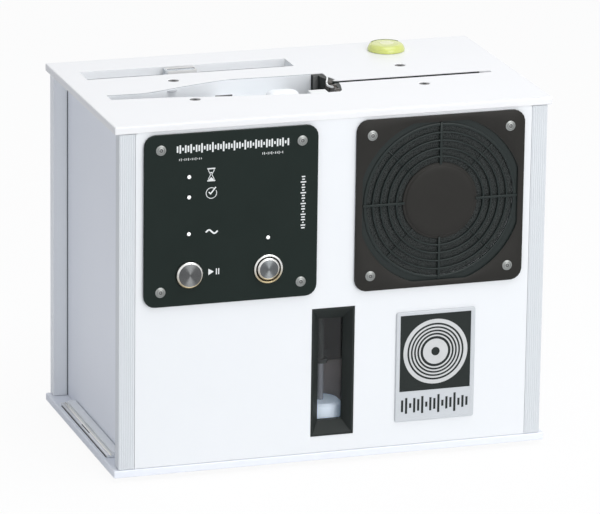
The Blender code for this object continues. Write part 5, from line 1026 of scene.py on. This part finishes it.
# %% Plate with a raised rim, a dark field, rings and bars
BADGE_X, BADGE_Z = 78.1, 69.4
BADGE_WIDE, BADGE_TALL = 60.4, 83.3
BADGE_LOOPS = [
    # how far the outline is drawn in, corner radius and y
    (0.0, 1.6, -93.8), (0.0, 1.6, -94.6), (0.35, 1.3, -94.95), (1.0, 1.0, -95.0),
    (2.5, 0.5, -95.0), (2.6, 0.4, -94.85),
]
shape = bmesh.new()
loops = []
for inset, radius, y in BADGE_LOOPS:
    outline = rounded((BADGE_X, BADGE_Z), BADGE_WIDE - 2 * inset, BADGE_TALL - 2 * inset, radius, 4)
    loops.append(points(shape, [(x, y, z) for x, z in outline]))
skin(shape, loops, caps=True)
piece("badge_face", shape, [BADGE_SILVER], replaced=["badge_plate"])
blocks("badge_field", DARK_INK, "black_plate", ((50.9, -94.95, 50.8), (105.0, -94.8, 108.9), 0.0))
DISC = (78.0, 0.0, 79.8)
DISC_RINGS = [(24.6, 21.6), (20.2, 18.9), (17.6, 16.4), (15.1, 14.0), (12.6, 11.5), (9.6, 3.2)]
RING_BASE, RING_TOP = 94.9, 95.03  # in front of the machine's middle
shape = bmesh.new()
for outer, inner in DISC_RINGS:
    profile = [(inner, RING_BASE), (outer, RING_BASE), (outer, RING_TOP), (inner, RING_TOP)]
    lathe(shape, DISC, profile, 72, closed=True)
piece("badge_rings", shape, [SILVER_INK])
bar_row("badge_bars", DARK_INK, "black_plate", 17, (3.1, 9.0, 5.5, 1.7), (53.2, -94.87, 39.8))

# %% [markdown]
# ## Ribs of the corner profiles
#
# The outer faces of an extruded corner profile carry shallow ribs. One rib is a half-round bar as tall
# as the profile, and a tree sets a row of them on each face.

# %% Ribs grown along each face
ribs = Growth("profile_ribs")
[count] = ribs.inputs("Count", kind="Int")
pitch, start = ribs.inputs("Step", "Start", kind="Vector")
tall, wide = ribs.inputs("Height", "Rib Radius")
row = ribs.node("MeshLine", Count=count, _2=start, Offset=pitch)
bar = ribs.node("MeshCylinder", {"fill_type": "NGON"}, Vertices=10, Radius=wide, Depth=tall)
ribs.finish(ribs.node("InstanceOnPoints", Points=row, Instance=bar))
RIB_LOW, RIB_HIGH = 10.1, 258.5
RIB_RADIUS, RIB_PROUD = 0.62, 0.22
RIB_FIRST_X, RIB_PITCH = 159.35, 1.55
PROFILE_FACE = 93.5
for end, way, finish in (("front", -1, ALUMINIUM), ("rear", 1, ALUMINIUM_REAR_LIT)):
    for side_name, side in (("left", -1), ("right", 1)):
        rib_y = way * (PROFILE_FACE - RIB_RADIUS + RIB_PROUD)
        start = metres((side * RIB_FIRST_X, rib_y, (RIB_LOW + RIB_HIGH) / 2))
        grow(
            f"ribs_{end}_{side_name}", ribs, NO_POINTS, finish, "aluminium", Count=7,
            Step=metres((-side * RIB_PITCH, 0.0, 0.0)), Start=start,
            Height=(RIB_HIGH - RIB_LOW) * MM, Rib_Radius=RIB_RADIUS * MM,
        )

# %% [markdown]
# ## The record opening
#
# Seen through the opening, the tub's white moulding comes up to the plate's upper face, so no step
# shows. A thin liner along the opening's rear edge gives that face. Outlines are drawn in plan, as
# (x, y) points, and raised between two heights.


# %% Walls along a path
def between(p, q, r, s, t):
    """A Catmull-Rom value between q and r, whose neighbours are p and s."""
    bend, twist = 2 * p - 5 * q + 4 * r - s, 3 * q - p - 3 * r + s
    return 0.5 * (2 * q + (r - p) * t + bend * t * t + twist * t ** 3)


def smooth_path(path, steps=8):
    """A smooth curve through (x, y) points."""
    ends = [path[0], *path, path[-1]]
    curve = []
    for four in zip(ends, ends[1:], ends[2:], ends[3:]):
        for step in range(steps):
            curve.append(tuple(between(*values, step / steps) for values in zip(*four)))
    return curve + [path[-1]]


def ribbon(shape, path, width, low_z, high_z):
    """A wall of one width along a path in plan."""
    left, right = sides_of(path, width)
    return plan(shape, left + right[::-1], low_z, high_z)


# %% The liner along the rear edge, the guide pin on it, and a grey strip of painted shade in the gap behind the liner
REAR_EDGE = smooth_path([
    (-145.3, -8.3), (-117.4, -8.7), (-99.8, -3.0), (-83.9, 3.1), (-61.5, 10.1), (-45.8, 13.3),
    (-17.0, 12.5), (15.0, 12.7),
])
PIN_PROFILE = [(0.0, 0.0), (4.3, 0.0), (4.3, 0.35), (4.0, 0.55), (1.2, 0.65), (0.0, 0.65)]
liner = ribbon(bmesh.new(), REAR_EDGE, 0.6, 238.0, 264.25)
piece("opening_liner", liner, [MOULDING])
pin = lathe(bmesh.new(), (-95.3, -0.9, 263.3), PIN_PROFILE, 28, "up")
piece("guide_pin", pin, [PIN_AND_GAP_SHADE_GREY])
# painted shade: a grey strip behind the liner stands for the shade in the gap
gap = ribbon(bmesh.new(), [(x, y + 0.62) for x, y in REAR_EDGE], 0.45, 255.0, 264.5)
piece("liner_gap", gap, [PIN_AND_GAP_SHADE_GREY])

# %% The rounded bump and the clip at the front edge
BUMP_X, BUMP_Y = -18.6, -25.2
BUMP_LOOPS = [
    # half length, half depth, height
    (12.6, 7.6, 252.0), (12.5, 7.5, 258.5), (12.0, 7.2, 261.5), (10.8, 6.4, 263.2),
    (8.6, 5.0, 264.1), (5.0, 2.8, 264.45),
]


def squared(value, power=0.62):
    """A sine or cosine pushed outwards, which makes an ellipse squarer."""
    return math.copysign(abs(value) ** power, value)


bump = bmesh.new()
loops = []
for half_x, half_y, z in BUMP_LOOPS:
    ring = [(half_x * squared(math.cos(a)), half_y * squared(math.sin(a))) for a in turn(64)]
    loops.append(points(bump, [(BUMP_X + x, BUMP_Y + y, z) for x, y in ring]))
piece("tub_bump", skin(bump, loops, caps=True), [MOULDING])
blocks(
    "edge_clip", CLIP_STEEL_AND_SOCKET_SHADE, "steel",
    ((-70.6, -29.3, 259.5), (-57.8, -28.3, 264.9), 0.25),
    ((-66.2, -28.4, 263.3), (-62.4, -27.2, 264.5), 0.2),
)

# %% [markdown]
# ## The nozzle's end
#
# The nozzles' ends carry two pale lips that wipe the record's edge, with a slit between them in the
# record's plane, and small dark hinges behind each lip. They sit inside the opening, a little below
# the plate's upper face.

# %% Lips, hinges and the pale shelf
LIPS = [
    [(24.6, 7.2), (24.2, 2.5), (22.2, -3.8), (20.2, -9.0), (19.2, -11.7)],
    [(18.6, -13.9), (17.9, -17.0), (17.6, -20.2), (18.3, -23.2), (19.9, -25.0)],
]
lips = bmesh.new()
for path in LIPS:
    ribbon(lips, smooth_path(path), 1.1, 263.6, 264.75)
piece("nozzle_lips", lips, [WHITE_LIP])
HINGE_BLOCKS = [
    ((21.6, -10.6, 257.0), (26.6, -1.2, 264.2), 0.7), ((23.4, -4.2, 258.0), (27.6, 1.2, 263.7), 0.6),
    ((20.8, -25.0, 257.0), (25.2, -15.2, 263.6), 0.8), ((19.4, -35.0, 256.0), (23.6, -27.8, 264.0), 0.7),
]
HINGE_PINS = [(24.2, -7.2, 263.4), (22.9, -19.8, 263.4), (21.4, -31.6, 263.4)]
hinges = bmesh.new()
add_boxes(hinges, HINGE_BLOCKS)
for place in HINGE_PINS:
    lathe(hinges, place, [(0, 0), (1.5, 0), (1.5, 0.9), (1.1, 1.15), (0, 1.15)], 18, "up")
piece("nozzle_hinges", hinges, [HINGE_BROWN])
blocks("nozzle_shelf", WHITE_LIP, "white_moulding", ((0.4, -39.7, 261.9), (13.5, -25.5, 263.3), 0.4))
# painted shade: the cheek darkens away from its upper left corner
blocks("nozzle_cheek", CHEEK_PAINTED_SHADE, "black_plastic", ((CHEEK_LEFT, 9.0, 246.0), (22.7, 9.6, 264.2), 0.2))
TONGUES = [
    [(27.4, -15.7), (26.3, -23.1), (22.9, -36.4), (20.6, -39.2), (20.6, -39.9), (22.7, -39.9),
     (26.5, -36.3), (28.4, -15.7)],
    [(25.2, -7.4), (25.6, -9.6), (28.6, -10.0), (28.4, -8.4), (27.6, -6.4)],
]
tongues = bmesh.new()
for outline in TONGUES:
    plan(tongues, outline, 261.5, 264.63)
piece("plate_tongues", tongues, [WHITE])

# %% [markdown]
# ## Filter grip and bubble level
#
# The filter lifts out by a beige grip: two tabs with a dark strip of painted shade in the gap between
# them. The level is a tinted acrylic disc with a liquid inside. Its far rim shows as a dark arc, and the
# bubble is a pale lens.

# %% The grip
blocks(
    "filter_grip", GRIP_GREY, "white_moulding",
    ((-82.9, 51.0, 255.5), (-60.3, 54.6, 263.8), 0.5),
    ((-82.9, 56.0, 255.5), (-60.3, 59.55, 264.3), 0.5), body="filter",
)
# painted shade: a dark strip fills the gap between the tabs
blocks("grip_gap", PAINTED_SHADE_GREY, "tank_grey", ((-82.0, 54.5, 262.0), (-61.2, 56.1, 264.12), 0.0), body="filter")

# %% The level with its far rim and its bubble
low, high = node_box("level_vial")
LEVEL_X, LEVEL_Y = (low[0] + high[0]) / 2, (low[1] + high[1]) / 2
level_low, level_high = low[2] - TOP_FACE, high[2] - TOP_FACE
LEVEL_PROFILE = [
    (0.0, level_low), (10.5, level_low), (10.5, 0.3), (13.9, 0.3), (14.0, 0.7), (13.85, 1.8),
    (13.4, 3.1), (12.7, 4.2), (12.0, level_high - 0.6), (11.2, level_high - 0.22),
    (10.0, level_high - 0.08), (0.0, level_high - 0.04),
]
BUBBLE = [(0.0, -0.3), (5.6, -0.3), (5.6, -0.12), (5.0, -0.04), (0.0, -0.01)]
disc = lathe(bmesh.new(), (LEVEL_X, LEVEL_Y, TOP_FACE), LEVEL_PROFILE, 72, "up")
piece("level_body", disc, [LEVEL_LIME], replaced=["level_vial"])
rim_path = arc((LEVEL_X, LEVEL_Y), 11.5, 22, 146, 31)
far_rim = ribbon(bmesh.new(), rim_path, 0.8, high[2] - 0.9, high[2] - 0.02)
piece("level_rim", far_rim, [LEVEL_OLIVE])
bubble = lathe(bmesh.new(), (LEVEL_X + 0.6, LEVEL_Y + 0.4, high[2]), BUBBLE, 40, "up")
piece("level_bubble", bubble, [LEVEL_PALE])

# %% [markdown]
# ## Ledge rail, float bracket and seams
#
# The rail on the left ledge is a strip of bare metal with a bright inner edge and a short slot. A dark
# line along its outer edge and the slot are dark strips of painted shade. Behind the window a grey
# bracket carries the float's stem. The front panel's upper edge goes up into the top plate, and where a
# side panel meets its rear profile a grey strip is the painted shadow of the gap.

# %% The rail and the bracket
BOXES = {
    "ledge_rail": (BRIGHT_STRIP, "steel", ((-160.75, -63.5, 10.6), (-157.85, 62.0, 11.55), 0.12)),
    "ledge_edge": (EDGE_CHROME, "steel", ((-157.9, -64.0, 10.6), (-157.3, 62.0, 12.0), 0.15)),
    # painted shade: a dark line along the rail's outer edge, and the short slot in the rail
    "ledge_seam": (
        DARK_CORE_AND_SHADE, "black_plastic",
        ((-161.25, -62.5, 9.6), (-160.7, 60.0, 9.95), 0.0),
        ((-159.75, -11.5, 11.3), (-159.05, 9.1, 11.62), 0.0),
    ),
    "float_bracket": (BRACKET_GREY, "tank_grey", ((-12.15, -47.5, 24.1), (26.0, -44.9, 63.5), 0.4)),
}
for name, row in BOXES.items():
    blocks(name, *row)

# %% The stem behind the window, the panel's upper edge and the painted shadows of the gaps
stem_low = node_box("float")[0][2] + 1.0
STEM_PROFILE = [(0.0, stem_low), (2.35, stem_low), (2.35, 72.0), (0.0, 72.0)]
stem = lathe(bmesh.new(), (0.0, -65.0, 0.0), STEM_PROFILE, 24, "up")
piece("float_stem", stem, [STEM_GREY])
blocks("panel_edge", WHITE_FRONT, "white_panel", ((-147.2, -93.48, 258.0), (147.2, -92.2, 259.1), 0.0))
# painted shadow: grey strips where the side panels meet the rear profiles
blocks(
    "panel_seams", PAINTED_SHADE_GREY, "black_plastic",
    ((-150.15, 83.2, 10.2), (-149.55, 83.95, 258.4), 0.0),
    ((149.55, 83.2, 10.2), (150.15, 83.95, 258.4), 0.0),
)

# %% [markdown]
# ## Fleece on the barrels
#
# The fleece is thousands of short tufts. A tree scatters points on a tube round each barrel with a
# fixed seed and stands a small cone at each point, turned to the tube's normal.

# %% Tufts grown on each barrel
TUFT_DENSITY = 3.4e5  # tufts on a square metre
TUFT_SMALLEST, TUFT_LARGEST = 0.7, 1.15
tufts = Growth("fleece_tufts")
[density] = tufts.inputs("Density")
[tuft] = tufts.inputs("Tuft", kind="Object")
[seed] = tufts.inputs("Seed", kind="Int")
spots = tufts.node("DistributePointsOnFaces", Mesh=tufts.base, Density=density, Seed=seed)
cone = tufts.node("ObjectInfo", output=4, Object=tuft)
size = tufts.node("FunctionNodeRandomValue", output=1, _2=TUFT_SMALLEST, _3=TUFT_LARGEST, _8=seed)
way = spots.node.outputs["Rotation"]
tufts.finish(tufts.node("InstanceOnPoints", Points=spots, Instance=cone, Rotation=way, Scale=size))

TUFT_FOOT, TUFT_TIP = 0.42, (0.12, 0.05, 0.95)
shape = bmesh.new()
feet = points(shape, [(TUFT_FOOT * math.cos(a), TUFT_FOOT * math.sin(a), -0.1) for a in turn(3)])
skin(shape, [feet, points(shape, [TUFT_TIP]) * 3])
shape.faces.new(feet[::-1])
TUFT = template("tuft", shape)
BARREL_SEEDS = {"front_left": 3, "front_right": 5, "rear_left": 7, "rear_right": 11}
TUBE_PROFILE = [(11.85, 152.5), (11.85, 243.5)]
for place, seed_number in BARREL_SEEDS.items():
    low, high = node_box(f"cleaning_barrel_{place}")
    middle = ((low[0] + high[0]) / 2, (low[1] + high[1]) / 2, 0.0)
    tube = settled("tube", lathe(bmesh.new(), middle, TUBE_PROFILE, 40, "up"))
    grow(
        f"fleece_{place}", tufts, tube, FLEECE, "fleece", f"barrel_{place}",
        Density=TUFT_DENSITY, Tuft=TUFT, Seed=seed_number,
    )

# %% [markdown]
# ## Floor, light and camera
#
# A shop photograph has a white sweep, one broad light above and in front, and a little light from
# every side. The floor shows white to the camera and still takes the object's shadow.

# %% A pale floor
FLOOR_REACH = 6.0
FLOOR_GLOW = 0.93  # how much of the floor, as the camera sees it, is plain white light
corners = [(x * FLOOR_REACH, y * FLOOR_REACH, CAD_BOX[0][2]) for x, y in ((-1, -1), (1, -1), (1, 1), (-1, 1))]
floor_mesh = bpy.data.meshes.new("floor")
floor_mesh.from_pydata(corners, [], [(0, 1, 2, 3)])
floor = put("floor", floor_mesh)
sweep = Finish("pale_floor", (0.94, 0.94, 0.94), 0.8)
glow = sweep.node("Emission", Color=(1.0, 1.0, 1.0), Strength=1.0)
seen = sweep.node("LightPath", output="Is Camera Ray")
blend = sweep.node("MixShader", _0=seen * FLOOR_GLOW, _1=sweep.shader.outputs[0], _2=glow)
plug(sweep.tree.nodes["Material Output"].inputs["Surface"], blend)
floor_mesh.materials.append(sweep.material)

# %% The world: white to the camera, softer and a little blue as a light
WORLD_LIGHT = 0.40
WORLD_TINT = (0.985, 1.015, 1.09, 1.0)
world = bpy.data.worlds.new("studio")
bpy.context.scene.world = world
world.use_nodes = True
tree = world.node_tree
rays = add_node(tree, "ShaderNodeLightPath").outputs
direct, mirror, through = (Signal(rays[f"Is {kind} Ray"]) for kind in ("Camera", "Glossy", "Transmission"))
seen = direct.math("MAXIMUM", mirror).math("MAXIMUM", through)
tints = {"Factor": seen, "_6": WORLD_TINT, "_7": (1.0, 1.0, 1.0, 1.0)}
tint = add_node(tree, "ShaderNodeMix", {"data_type": "RGBA"}, **tints)
sky = tree.nodes["Background"].inputs
plug(sky["Color"], tint.outputs[2])
plug(sky["Strength"], seen * (1.0 - WORLD_LIGHT) + WORLD_LIGHT)

# %% Soft boxes
SOFT_BOXES = {
    # name: (place, aim, width and height, power)
    "overhead": ((0.25, -0.35, 1.55), (0.0, 0.0, 0.15), 1.3, 13.6),
    "front_right": ((0.55, -1.85, 0.75), (0.0, 0.0, 0.13), 1.2, 13.2),
}
for name, (place, aim, width, power) in SOFT_BOXES.items():
    light = bpy.data.lights.new(name, "AREA")
    light.shape = "RECTANGLE"
    light.size, light.size_y, light.energy = width, width, power
    holder = put(name, light)
    holder.location = place
    holder.rotation_euler = (Vector(aim) - Vector(place)).to_track_quat("-Z", "Y").to_euler()
print("lights:", ", ".join(SOFT_BOXES))

# %% The camera stands 3.7 m away, to the left and a little above
AZIMUTH, ELEVATION, ROLL = (math.radians(angle) for angle in (-18.017, 16.603, 0.77))
EYE = Vector((-1.1040, -3.4081, 1.1982))
LENS, SENSOR = 304.8, 36.0
level_back = Vector((math.sin(AZIMUTH), -math.cos(AZIMUTH), 0.0))
back = level_back * math.cos(ELEVATION) + Vector((0.0, 0.0, math.sin(ELEVATION)))
right = Vector((math.cos(AZIMUTH), math.sin(AZIMUTH), 0.0))
up = back.cross(right)
right, up = (
    math.cos(ROLL) * right + math.sin(ROLL) * up,
    math.cos(ROLL) * up - math.sin(ROLL) * right,
)
lens = bpy.data.cameras.new("camera")
lens.lens = LENS
lens.sensor_width = SENSOR
lens.sensor_fit = "HORIZONTAL"
lens.clip_end = 30.0
camera = put("camera", lens)
camera.matrix_world = Matrix.Translation(EYE) @ Matrix((right, up, back)).transposed().to_4x4()
bpy.context.scene.camera = camera
bpy.context.scene.view_settings.view_transform = "Standard"
